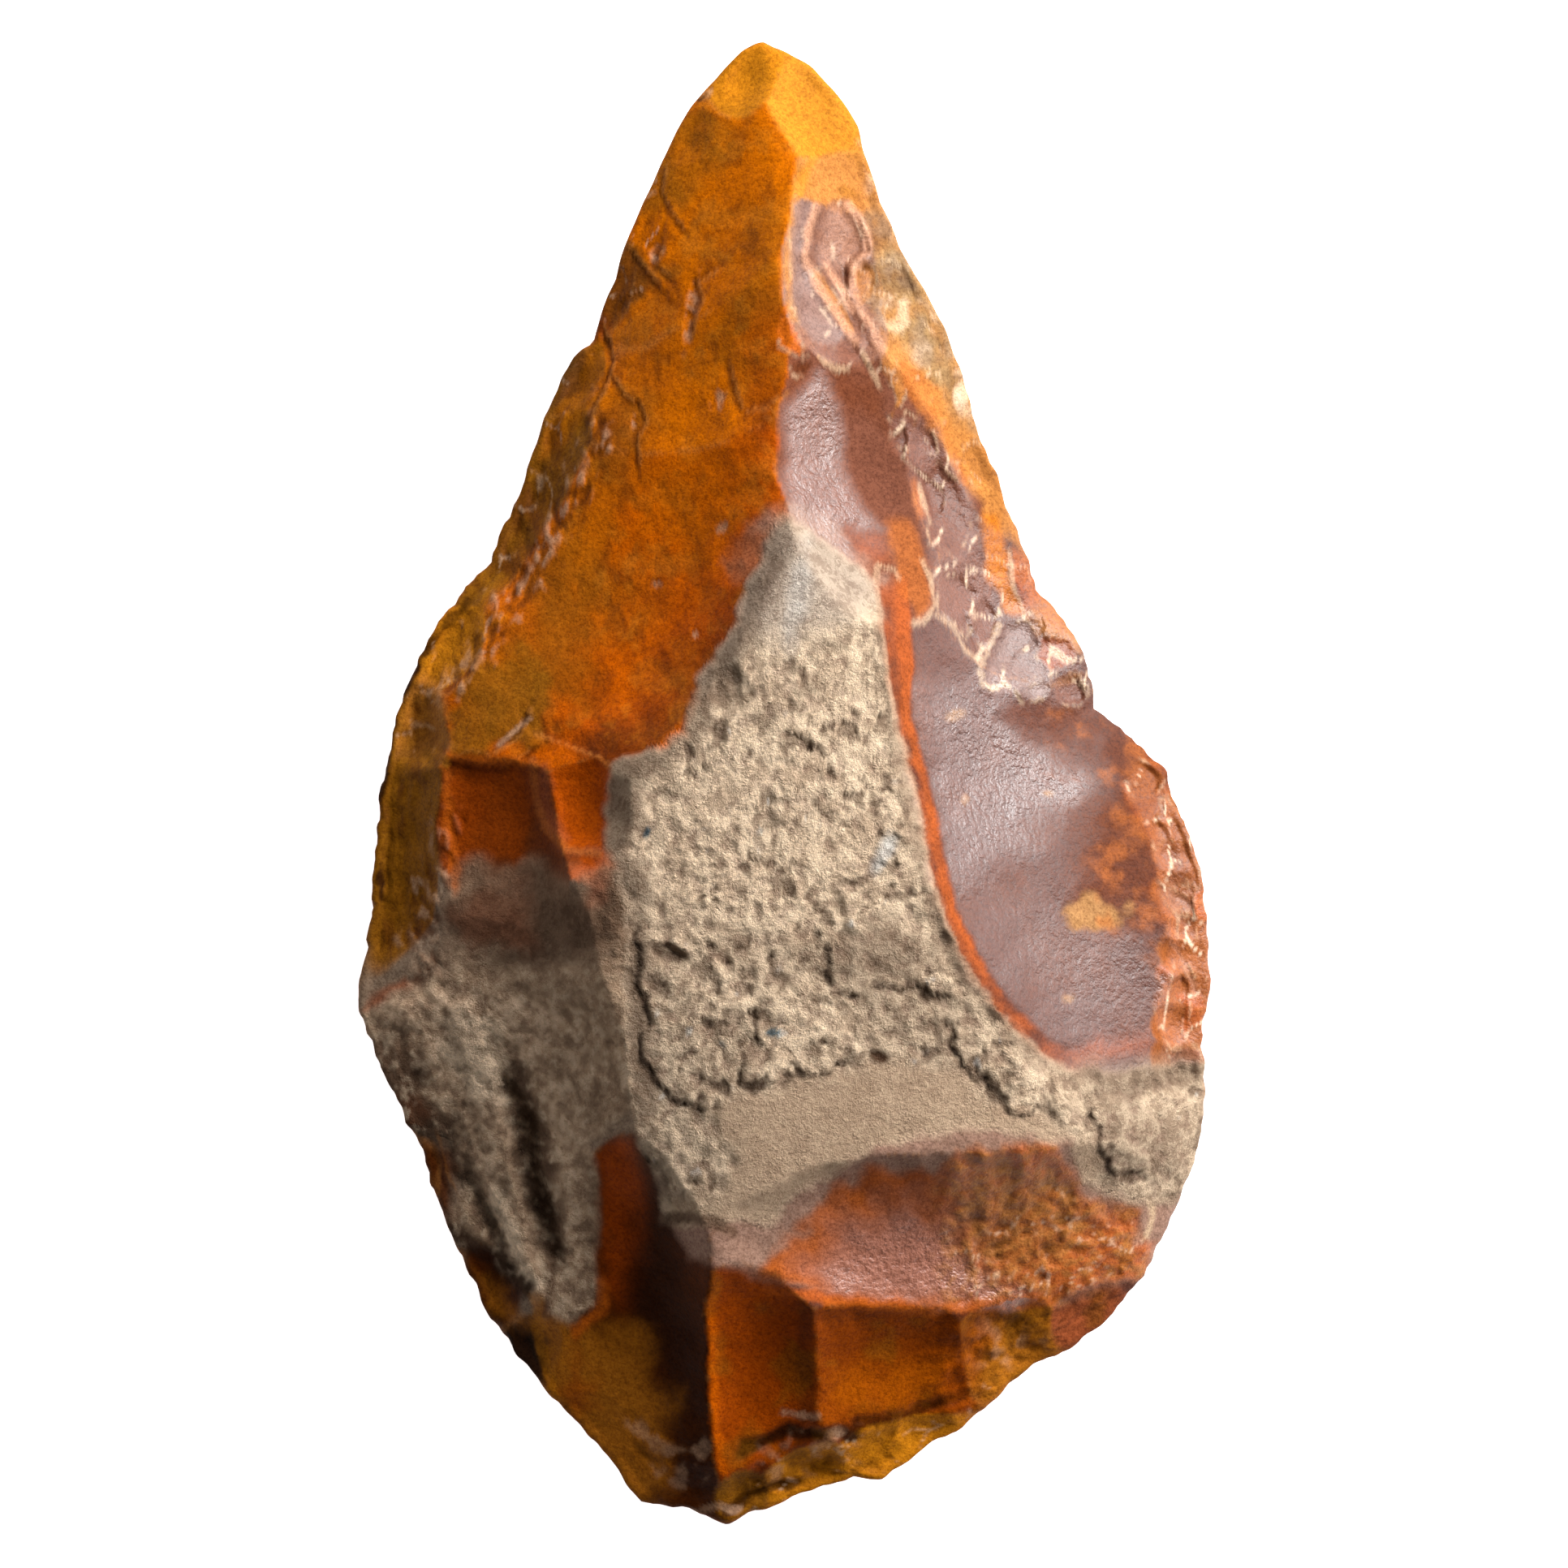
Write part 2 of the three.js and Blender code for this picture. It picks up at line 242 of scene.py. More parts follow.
CREAM = tone(255, 226, 192)
GREY = tone(140, 118, 98)
STONE = tone(190, 162, 134)
DRIFT = tone(216, 194, 172)
LIT_SAND = tone(222, 188, 156)
EARTH_GREY = tone(196, 164, 134)
GREY_TAN = tone(148, 118, 80)
ORANGE_BROWN = tone(176, 98, 42)
VIVID = tone(188, 90, 28)
DUST = tone(136, 112, 92)
WHITE = tone(240, 236, 228)
TEAL = tone(40, 100, 120)
BARK = tone(84, 40, 14)
BRICK = tone(148, 76, 42)
TAWNY = tone(190, 106, 8)
FAWN = tone(190, 152, 122)
DUSK = tone(158, 124, 106)
RED_ORANGE = tone(184, 84, 26)
ASH_PINK = tone(134, 106, 97)
BUFF = tone(216, 186, 150)


# Flake scars: an oval bowl each, with its middle, turn, half length, half breadth and depth as a
# share of the form's height, and the tone of its patina.
def scar(x, y, turn, long, broad, deep, tint=AMBER, power=2):
    turn = math.radians(turn)
    return dict(x=x, y=y, turn=turn, long=long, broad=broad, deep=deep, tint=tint, power=power)


FACE_SCARS = dict(
    tip_left=scar(-2.8, 47.4, 60, 3.4, 2.6, 0.5, OCHRE),
    tip_right=scar(2.6, 44.6, -48, 5.0, 2.7, 0.45, YELLOW),
    long_left=scar(-6.8, 37.5, 74, 12.5, 5.4, 0.28, AMBER),
    mid_left=scar(-7.6, 25.6, 72, 9.5, 6.4, 0.21, AMBER),
    big_left=scar(-11.6, 13.0, 58, 15.5, 9.2, 0.3, DEEP_AMBER),
    left_notch=scar(-11.6, 33.2, 66, 3.6, 1.7, 0.5, TOFFEE),
    left_edge=scar(-14.6, 27.4, 66, 3.6, 2.4, 0.55, OLIVE),
    left_strip=scar(-18.0, 18.8, 60, 9.5, 3.4, 0.5, OLIVE),
    left_bright=scar(-22.6, 9.4, 50, 3.6, 2.2, 0.5, OCHRE),
    left_olive=scar(-25.2, 3.6, 75, 3.6, 2.6, 0.52, OLIVE),
    brown_square=scar(-19.0, -4.2, 88, 6.4, 4.6, 0.3, UMBER, 3),
    tongue=scar(-13.5, -1.0, 98, 4.4, 3.0, 0.17, EMBER),
    outer_strip=scar(-26.4, -6.0, 86, 8.6, 3.8, 0.55, OLIVE),
    furrowed=scar(-21.5, -20, 100, 18, 10.6, 0.36, GREY),
    furrow=scar(-17.2, -25.2, 106, 11, 2.0, 0.5, GREY),
    furrow_low=scar(-21.2, -26.6, 117, 8, 1.7, 0.5, GREY),
    flank_patch=scar(-25.0, -26.5, 70, 4.0, 2.6, 0.5, EARTH),
    flank_low=scar(-20.2, -33.6, 60, 4.8, 3.2, 0.5, CINDER),
    flank_dark=scar(-17.4, -38.6, 50, 4.0, 2.4, 0.6, SOOT),
    butt_left=scar(-10.6, -38.4, 96, 15.6, 6.6, 0.5, CINDER),
    butt_mid=scar(-1.4, -40.0, 92, 9.2, 5.0, 0.38, TOFFEE),
    butt_right=scar(7.0, -38.9, 4, 6.8, 6.2, 0.42, SIENNA),
    butt_far=scar(15.0, -37.6, 40, 4.4, 3.8, 0.46, MOSS),
    butt_end=scar(20.0, -35.8, 30, 3.2, 2.2, 0.5, BRICK),
    butt_low_right=scar(8.3, -44.6, 15, 5.0, 2.8, 0.6, OCHRE),
    butt_low_mid=scar(1.6, -46.8, 10, 4.2, 2.7, 0.6, OCHRE),
    butt_low_left=scar(-2.6, -47.6, 30, 2.4, 1.9, 0.6, OLIVE),
    red_dish=scar(10.0, -31.0, -2, 14.0, 6.2, 0.31, MAUVE),
    big_right=scar(25.5, -0.5, 106, 18.4, 16.3, 0.45, MAUVE),
    upper_right=scar(5.2, 20.8, 106, 8.2, 5.2, 0.27, COCOA),
    crescent=scar(4.2, 33.8, 92, 6.6, 3.8, 0.42, PINK),
    crescent_top=scar(4.4, 40.6, 100, 3.6, 3.2, 0.42, HONEY),
    tan_strip=scar(9.4, 33.0, 112, 10.5, 3.8, 0.5, TAN),
    right_strip=scar(14.2, 22.5, 112, 9.0, 3.8, 0.48, HONEY),
    right_inner=scar(10.6, 19.5, 112, 6.0, 2.6, 0.34, COCOA),
    right_cluster=scar(16.4, 11.2, 125, 8.0, 5.0, 0.5, MAUVE),
)


def scar_row(name, first, last, count, long, broad, deep, tint):
    """Scars struck in along the edge between two bearings in degrees, each a little different."""
    row = {}
    for i in range(count):
        at = first + (last - first) * (i + 0.5) / count
        size = 1 + 0.2 * math.sin(i * 2.4 + 0.7)
        far = float(reach(EDGE, np.array(math.radians(at)))) - 0.42 * long * size
        x, y = SEAT[0] + far * math.cos(math.radians(at)), SEAT[1] + far * math.sin(math.radians(at))
        turn = at + 14 * math.sin(i * 1.9)
        row[f"{name}_{i}"] = scar(x, y, turn, long * size, broad * (2 - size), deep, tint)
    return row


FACE_SCARS |= scar_row("trim_right", -24, 14, 8, 2.8, 2.4, 0.62, CLAY)
BACK_SCARS = scar_row("back_broad", 0, 360, 10, 15.5, 9, 0.36, AMBER)
BACK_SCARS |= scar_row("back_trim", 12, 372, 15, 7.5, 5, 0.46, TOFFEE)


def oval(s, x, y):
    """0 at a scar's middle, 1 on its rim."""
    dx, dy = x - s["x"], y - s["y"]
    u = (math.cos(s["turn"]) * dx + math.sin(s["turn"]) * dy) / s["long"]
    v = (-math.sin(s["turn"]) * dx + math.cos(s["turn"]) * dy) / s["broad"]
    return np.abs(u) ** s["power"] + np.abs(v) ** s["power"]


ARRIS_BLEND = 0.012  # how softly two scars meet, as a share of the rise
SHOW_BLEND, FRONT_BLEND = 0.006, 0.0025  # how softly what they show changes there
ARRIS_FADE = (0.006, 0.0015)


def carve(x, y, depth, scars):
    """Height as a share of the rise, how much each scar shows, and the height each alone would give."""
    calm = ramp(0, 3, depth)
    wx = x + calm * (0.5 * noise(x, y, 5, 1) + 0.25 * noise(x, y, 1.9, 2))
    wy = y + calm * (0.5 * noise(x, y, 5, 3) + 0.25 * noise(x, y, 1.9, 4))
    flaked = dome(x, y, depth, FLAKED)
    levels = [dome(x, y, depth, BLANK)]
    levels += [flaked * (1 - s["deep"] * (1 - oval(s, wx, wy))) for s in scars.values()]
    height = levels[0]
    for level in levels[1:]:
        height = soft_min(height, level, ARRIS_BLEND)
    levels = np.array(levels)
    shows = np.exp(-(levels - levels.min(0)) / SHOW_BLEND)
    names = ["crust", *scars]
    return height, dict(zip(names, shows / shows.sum(0))), dict(zip(names, levels))


# Rings of points from the edge in to the seat, closer together near the edge.
CROWDING = 1.12  # over 1 draws the rings toward the edge
SPARE = 1.05  # points on a ring beyond its share of the edge's
FEWEST = 6


def rings(edge_count, ring_count):
    scales = 1 - (1 - np.linspace(1, 0, ring_count, endpoint=False)) ** CROWDING
    counts = [max(FEWEST, round(edge_count * min(1, s * SPARE))) for s in scales]
    return [SEAT + s * (even_points(EDGE, count) - SEAT) for s, count in zip(scales, counts)]


def stitch(outer_count, inner_count, outer_start, inner_start, flip):
    """Triangles between two rings, each step taken on the ring that has fallen behind."""
    i = j = 0
    faces = []
    while i < outer_count or j < inner_count:
        a, b = outer_start + i % outer_count, inner_start + j % inner_count
        if (i + 1) * inner_count <= (j + 1) * outer_count:
            i += 1
            c = outer_start + i % outer_count
        else:
            j += 1
            c = inner_start + j % inner_count
        faces.append((a, b, c) if flip else (a, c, b))
    return faces


def sheet(edge_count, ring_count, flip):
    """The plan's points and triangles, and how many of the first points lie on the edge."""
    rows = rings(edge_count, ring_count)
    points = np.vstack([*rows, SEAT[None]])
    starts = np.r_[0, np.cumsum([len(row) for row in rows])]
    faces = []
    for k in range(len(rows) - 1):
        faces += stitch(len(rows[k]), len(rows[k + 1]), starts[k], starts[k + 1], flip)
    last, middle = starts[-2], len(points) - 1
    count = len(rows[-1])
    for i in range(count):
        a, b = last + i, last + (i + 1) % count
        faces.append((a, middle, b) if flip else (a, b, middle))
    return points, np.array(faces), len(rows[0])


MEAN_RADIUS = 30
BITE_REACH = 1.2


def nibble(points, depth):
    """Small bites that use and retouch left along the edge, gone within a few hundredths of it."""
    x, y = points.T
    around, flat = MEAN_RADIUS * bearing(x, y), 0 * x
    bite = 0.22 + 0.3 * rough_noise(around, flat, 2.6, 97) + 0.12 * noise(around, flat, 0.7, 98)
    inward = (SEAT - points) / np.maximum(np.hypot(*(SEAT - points).T), 1)[:, None]
    return points + inward * (np.clip(bite, 0, 1) * np.exp(-depth / BITE_REACH))[:, None]


# The worked face.
FACE_RIM, FACE_RINGS = 900, 165
BACK_RIM, BACK_RINGS = 450, 62
face_points, face_triangles, face_rim = sheet(FACE_RIM, FACE_RINGS, False)
x, y = face_points.T
depth = inset(x, y)
depth[:face_rim] = 0
share, shows, levels = carve(x, y, depth, FACE_SCARS)

# Everything finer than a scar is listed as lines and areas in the same hundredths.


def gap_to(line, closed=False, across=0.0, up=0.0):
    """Distance to a line, and a share that is positive on the left of its run."""
    line = np.array(line) - (across, up)
    starts, ends = (line, np.roll(line, -1, 0)) if closed else (line[:-1], line[1:])
    nearest, side = np.full(x.shape, 1e9), np.zeros(x.shape)
    for a, b in zip(starts, ends):
        run = b - a
        t = np.clip(((x - a[0]) * run[0] + (y - a[1]) * run[1]) / (run @ run), 0, 1)
        gap = np.hypot(x - a[0] - t * run[0], y - a[1] - t * run[1])
        cross = run[0] * (y - a[1]) - run[1] * (x - a[0])
        side = np.where(gap < nearest, cross, side)
        nearest = np.minimum(nearest, gap)
    return nearest, np.sign(side)


def depth_in(corners, across=0.0, up=0.0):
    """Distance in from the border of an area, negative outside."""
    gap, _ = gap_to(corners, True, across, up)
    within = np.zeros(x.shape, bool)
    px, py = x + across, y + up
    for (ax, ay), (bx, by) in zip(corners, corners[1:] + corners[:1]):
        if ay != by:
            within ^= ((ay > py) != (by > py)) & (px < ax + (bx - ax) * (py - ay) / (by - ay))
    return np.where(within, gap, -gap)


def inside(corners, soft=0.3, ragged=0.3, size=2.0, across=0.0, up=0.0):
    """1 inside an area and 0 outside, with a soft and ragged border."""
    return ramp(-soft, soft, depth_in(corners, across, up) + ragged * rough_noise(x, y, size, 50))


def near(line, width, ragged=0.0, size=1.5):
    """1 on a line, 0 at its width."""
    return 1 - ramp(0.3 * width, width, gap_to(line)[0] + ragged * rough_noise(x, y, size, 60))


def patch(px, py, turn, long, broad, soft, ragged=0.15):
    """An oval stain, 1 inside, with a soft and ragged rim."""
    q = oval(scar(px, py, turn, long, broad, 0), x, y)
    return 1 - ramp(1 - soft, 1 + soft, np.sqrt(q) + ragged * rough_noise(x, y, 3, 40))


def lay(over, where):
    """Lays one tone over the patina where a share from 0 to 1 says."""
    global colour
    colour = colour + (np.asarray(over) - colour) * np.clip(where, 0, 1)[:, None]


def ledge(line, drop, back):
    """A small step, down on the right of the line's run and back up over a distance."""
    gap, side = gap_to(line)
    gap = gap + 0.15 * rough_noise(x, y, 0.9, 65)
    return -drop * (side < 0) * (1 - ramp(0, back, gap))


def stain(areas, where=1.0):
    """Lays each area's tone: the tone, its share, softness, raggedness and corners."""
    for over, strength, soft, ragged, corners in areas:
        lay(over, strength * where * inside(corners, soft, ragged))


def dapple(where, dabs):
    """Lays each tone where a noise of its own size and seed rises, or falls, from one value to another."""
    for over, strength, start, full, *grain_size in dabs:
        lay(over, strength * where * ramp(start, full, rough_noise(x, y, *grain_size)))


fronts = np.array([levels[name] for name in FACE_SCARS])
arris = np.sort(np.vstack([fronts, levels["crust"][None]]), 0)
arris = ramp(*ARRIS_FADE, arris[1] - arris[0])
fronts = np.exp(-(fronts - fronts.min(0)) / FRONT_BLEND)
colour = (fronts / fronts.sum(0)).T @ np.array([s["tint"] for s in FACE_SCARS.values()])
relief = np.zeros(x.shape)  # in millimetres

# The ambers of the left face: redder toward the spine, yellower toward the edge.
left = shows["long_left"] + shows["mid_left"] + shows["big_left"]
lay(RUST, 0.45 * left * near([(-0.4, 30), (-0.6, 20), (-1.6, 13), (-4.2, 8), (-7, 4), (-12, 2.6)],
                             3.6, 1.0, 4))
lay(BARK, 0.55 * left * near([(-1.6, 13), (-4.0, 8.6), (-6.2, 4.4), (-8.6, 2.6), (-12, 2.0)], 2.6, 0.6, 3))
lay(TAWNY, 0.6 * left * near([(-12.4, 22), (-15, 15), (-18, 8.5)], 4.6, 1.2, 4))
dapple(left, [(OLIVE, 0.4, 0.1, 0.8, 6, 70)])
lay(BARK, 0.4 * left * ramp(0.0, 0.7, rough_noise(x, y * 0.7, 1.6, 99, 5, 0.7)))
dapple(left, [(YELLOW, 0.25, 0.05, 0.6, 3.2, 111, 4, 0.7)])
relief += left * (0.12 * rough_noise(x, y, 3.4, 112) + 0.05 * rough_noise(x, y, 0.9, 113, 2))
stain([
    (TAWNY, 0.6, 0.6, 0.5, [(-13.4, 29.6), (-11.8, 29.0), (-12.2, 26.0), (-14.6, 23.0), (-16.6, 22.0)]),
    (OLIVE, 0.7, 0.4, 0.5, [(-13, 33.2), (-10.8, 36.6), (-9.2, 35.0), (-9.0, 32.6), (-11.4, 30.6)]),
    (BARK, 0.5, 0.3, 0.4, [(-11.4, 36.2), (-10.8, 36.5), (-8.6, 33.2), (-10.6, 31.6), (-12.8, 30.2),
                           (-12.0, 33.0)]),
    (OLIVE, 0.45, 0.9, 0.9, [(-8.6, 42.4), (-6.6, 45.4), (-3.4, 45.2), (-4.4, 40.6), (-7.6, 38.6),
                             (-9.6, 38.4)]),
    (BARK, 0.35, 0.5, 0.6, [(-12.8, 25.2), (-10.4, 25.8), (-9.6, 23.0), (-10.4, 19.0), (-13.0, 22.0)]),
    (SOOT, 0.6, 0.3, 0.4, [(-14.6, 29.2), (-13.2, 29.4), (-13.8, 27.0), (-15.6, 25.4)]),
    (TOFFEE, 0.6, 1.8, 1.4, [(-18.5, 12), (-15.5, 17), (-13, 12), (-11.5, 6), (-14, 3.6), (-18.5, 6)]),
    (AMBER, 0.5, 2.0, 1.0, [(-8.5, 25), (-4.0, 26), (-2.6, 19), (-5, 16), (-10, 16.5)]),
    (TOFFEE, 0.6, 1.6, 1.4, [(-8.6, 12.5), (-5.4, 14.5), (-3.4, 11.5), (-5, 7), (-9.5, 4.5)]),
    (OLIVE, 0.5, 1.6, 1.2, [(-17, 16), (-13.6, 17), (-12.2, 10), (-13.2, 5), (-17, 6)]),
    (BARK, 0.4, 1.6, 1.2, [(-18.6, 17.5), (-15.0, 23.5), (-14.2, 21.0), (-17.4, 14.6)]),
    (BARK, 0.3, 1.4, 1.2, [(-9.4, 35.5), (-6.8, 33), (-7.6, 26), (-9.4, 21), (-12.6, 24), (-12.6, 28)]),
    (BARK, 0.15, 1.6, 1.2, [(-2.4, 44), (-0.8, 38), (-0.4, 31), (-2.0, 31), (-4.0, 38)]),
    (BARK, 0.45, 0.8, 0.8, [(-20.4, 6.0), (-16.8, 6.8), (-14.4, 4.2), (-16.8, 2.0), (-21.4, 2.2)]),
    (OLIVE, 0.8, 0.6, 0.8, [(-22.4, 6.6), (-17.5, 9.4), (-15.5, 6.4), (-16.5, 2.6), (-22.2, 2.0)]),
])

# Pale pits, hackles, a scratch and the little steps where a flake broke off short: each step has its
# line, its drop and how far it takes to come back up.
PALE_PITS = [
    (-4.4, 25.4, 60, 0.7, 0.5), (-6.2, 31.4, 80, 2.1, 0.4), (-8.6, 35.4, 60, 0.8, 0.4),
    (-10.0, 24.2, 80, 0.6, 0.3), (-8.5, 13.2, 0, 0.3, 0.2), (-5.8, 9.8, 0, 0.3, 0.2),
    (-4.0, 17.0, 30, 0.4, 0.25),
]
for px, py, turn, long, broad in PALE_PITS:
    pit = patch(px, py, turn, long, broad, 0.4, 0.5)
    relief -= 0.2 * pit
    lay(FAWN, 0.6 * pit * ramp(-0.2, 0.3, rough_noise(x, y, 0.6, 84)))
hackles = near([(-16.6, 4.6), (-14.6, 3.2), (-12.0, 2.4)], 2.6, 0.3) * (shows["big_left"] + shows["tongue"])
relief += 0.04 * hackles * np.sin(7.5 * (x + 0.45 * y) + 2 * noise(x, y, 2, 85))
scratch = near([(-19.0, 2.6), (-16.9, 4.4)], 0.28, 0.05)
relief -= 0.15 * scratch
lay(FAWN, 0.7 * scratch)
LEDGES = [
    ([(-10.9, 36.6), (-9.8, 35.3), (-9.2, 34.4), (-8.4, 33.4)], 0.45, 3.0),
    ([(-12.2, 30.8), (-11.6, 29.4), (-11.4, 28.2), (-11.9, 26.8), (-12.7, 25.2), (-13.0, 24.2)], 0.5, 2.6),
    ([(-11.3, 27.0), (-10.6, 25.9), (-9.6, 25.3), (-9.2, 24.2), (-9.8, 23.0), (-9.7, 21.4)], 0.25, 2.2),
    ([(-5.8, 33.4), (-5.5, 32.2), (-6.0, 31.2), (-6.1, 30.0)], 0.3, 1.2),
    ([(-4.4, 34.3), (-5.4, 33.7)], 0.2, 0.7),
    ([(-3.6, 27.6), (-3.2, 26.0), (-2.8, 24.9)], 0.25, 1.2),
    ([(0.2, 25.9), (-1.0, 25.1), (-2.4, 24.7)], 0.2, 1.2),
    ([(-8.0, 41.2), (-8.3, 39.8), (-7.6, 38.4), (-6.8, 37.2)], 0.25, 1.8),
    ([(-8.2, 36.0), (-8.6, 34.8), (-7.6, 33.9)], 0.25, 1.0),
    ([(-16.9, 5.0), (-17.6, 3.2), (-19.2, 2.2)], 0.3, 1.6),
    ([(-11.4, 1.0), (-12.2, 1.8), (-14.2, 2.6), (-16.4, 3.4)], 0.35, 1.6),
    ([(-20.4, 8.8), (-21.2, 7.2), (-22.6, 6.0), (-24.0, 6.2)], 0.3, 1.8),
    ([(-22.4, 1.6), (-20.6, 1.3), (-18.4, 1.0), (-16.8, 2.2)], 0.35, 2.4),
]
for line, drop, back in LEDGES:
    step = ledge(line, drop, back)
    relief += step
    # Painted shade along the foot of each step and a painted highlight along its top edge.
    lay(BARK, 0.45 * near(line, 0.4, 0.2) * (step < 0))
    lay(HONEY, 0.4 * near(line, 0.3, 0.15) * (step == 0))

# The crushed line between the big left scar and the strip outside it, and the raw edge below.
CRUSHED = [(-12.4, 24.0), (-13.6, 20.5), (-15.4, 16.8), (-17.0, 13.8), (-19.0, 10.8), (-20.6, 8.8),
           (-22.6, 6.6)]
RAW_EDGE = [(-22.4, -2.4), (-22.8, -5.0), (-24.0, -7.5), (-24.4, -10.5), (-23.6, -13.5)]
for line, width, drawn in ((CRUSHED, 1.3, -1.0), (RAW_EDGE, 1.5, 1.6)):
    crushed = near(line, width, 0.9, 1.4)
    splinter = rough_noise(x * 1.6 + drawn * 0.3 * y, y * 0.8, 1.1, 71)
    relief += 0.35 * crushed * splinter
    lay(FAWN, 0.6 * crushed * ramp(0.05, 0.5, splinter))
    lay(BARK, 0.6 * crushed * ramp(0.0, -0.4, splinter))
stain([
    (OCHRE, 0.7, 0.3, 0.3, [(-24.2, 8.2), (-22.0, 11.6), (-20.6, 11.0), (-23.0, 6.8)]),
    (HONEY, 0.5, 0.5, 0.6, [(-26.4, 5.0), (-24.4, 7.6), (-22.6, 6.2), (-22.6, 2.4), (-25.0, 1.8),
                            (-26.6, 1.8)]),
    (TOFFEE, 0.7, 0.6, 0.6, [(-22.6, 1.4), (-16.6, 1.6), (-16.4, -1.4), (-15.0, -4.6), (-16.6, -5.2),
                             (-22.4, -4.8)]),
    (EMBER, 0.35, 0.5, 0.5, [(-22.6, 0.6), (-19.6, 0.8), (-20.4, -2.6), (-21.6, -6.4), (-22.6, -5.6)]),
    (DEEP_AMBER, 0.2, 0.4, 0.4, [(-16.6, 2.8), (-14.4, 2.6), (-12.2, 1.4), (-11.2, -1.6), (-10.6, -4.0),
                                 (-14.6, -4.4), (-16.2, -1.8)]),
    (BRICK, 0.8, 0.35, 0.3, [(-16.4, 1.4), (-15.6, 1.6), (-15.4, -1.2), (-14.2, -3.6), (-15.4, -3.8),
                             (-16.3, -1.6)]),
])
# The night lines are painted shade along the left edge, which is turned from the light.
for over, strength, width, line in (
    (ORANGE, 0.8, 0.5, [(-22.6, 1.9), (-20.4, 1.5), (-17.2, 1.6)]),
    (ORANGE, 0.6, 0.5, [(-22.6, 1.8), (-22.5, -1), (-22.2, -4), (-21.9, -7.5)]),
    (BRICK, 0.8, 0.4, [(-15.4, -4.2), (-13.4, -4.6), (-11.4, -4.2)]),
    (YELLOW, 0.8, 0.5, [(-23.3, 2.2), (-22.5, 1.4)]),
    (YELLOW, 0.8, 0.4, [(-25.6, 1.7), (-24.2, 1.5)]),
    (NIGHT, 0.9, 0.5, [(-24.8, 8.0), (-26.3, 5.6), (-27.1, 3.0), (-27.4, -1.0)]),
    (NIGHT, 0.7, 0.5, [(-21.4, 12.2), (-22.8, 10.8), (-24.4, 8.8)]),
    (NIGHT, 0.9, 0.4, [(-27.3, -5.4), (-27.1, -7.6)]),
):
    lay(over, strength * near(line, width, 0.25, 1.0))
relief += 0.2 * near([(-22.4, 1.9), (-19.5, 1.6), (-16.8, 2.6)], 0.8, 0.2)
outer = shows["outer_strip"] + shows["left_strip"] + shows["left_olive"]
relief += 0.2 * outer * rough_noise(x * 1.8, y * 0.5, 1.4, 86)
lay(BARK, 0.5 * outer * ramp(0.1, 0.6, rough_noise(x * 1.6, y * 0.5, 2.0, 87)))
stain([
    (BRICK, 0.8, 0.4, 0.3, [(-29.2, -15.8), (-27.6, -14.2), (-25.4, -13.0), (-24.8, -13.8),
                            (-27.4, -15.0)]),
    (UMBER, 0.8, 0.4, 0.3, [(-16.8, -1.6), (-16.0, -3.2), (-14.6, -4.5), (-12.8, -5.2), (-15.4, -5.6),
                            (-17.2, -5.0)]),
])
TONGUE_BORDER = [(-16.7, 1.6), (-16.5, -1.0), (-15.8, -3.0), (-14.4, -4.3), (-12.2, -4.6)]
lay(ORANGE_BROWN, 0.6 * near(TONGUE_BORDER, 0.4, 0.1))
relief += 0.15 * near(TONGUE_BORDER, 0.6, 0.1)

# The furrowed flank, a dull sandy brown with two worn furrows and the crests beside them, with painted
# light on the crests and painted shade in the furrows and hollows.
FLANK = [
    (-29.5, -15.9), (-25.2, -13.8), (-22.6, -12.4), (-22.4, -7.0), (-21.2, -4.7), (-19.4, -4.3),
    (-18.0, -5.8), (-16.4, -4.8), (-15.2, -4.4), (-13.0, -5.2), (-11.2, -4.8), (-9.6, 2), (-9.4, -21),
    (-11.8, -23.4), (-13.6, -22.6), (-12.4, -26), (-12.2, -33), (-12.3, -35), (-14.4, -36.4),
    (-16.6, -34.6), (-17.6, -33.2), (-20, -31.2), (-22.8, -29.8), (-21.6, -26.6), (-22.4, -23.8),
    (-26.4, -22.8),
]
flank = inside(FLANK, 0.6, 0.6, 2.0) * ramp(-3.8, -8.5, y + 1.2 * rough_noise(x, y, 2.6, 115))
lay(EARTH_GREY, flank)
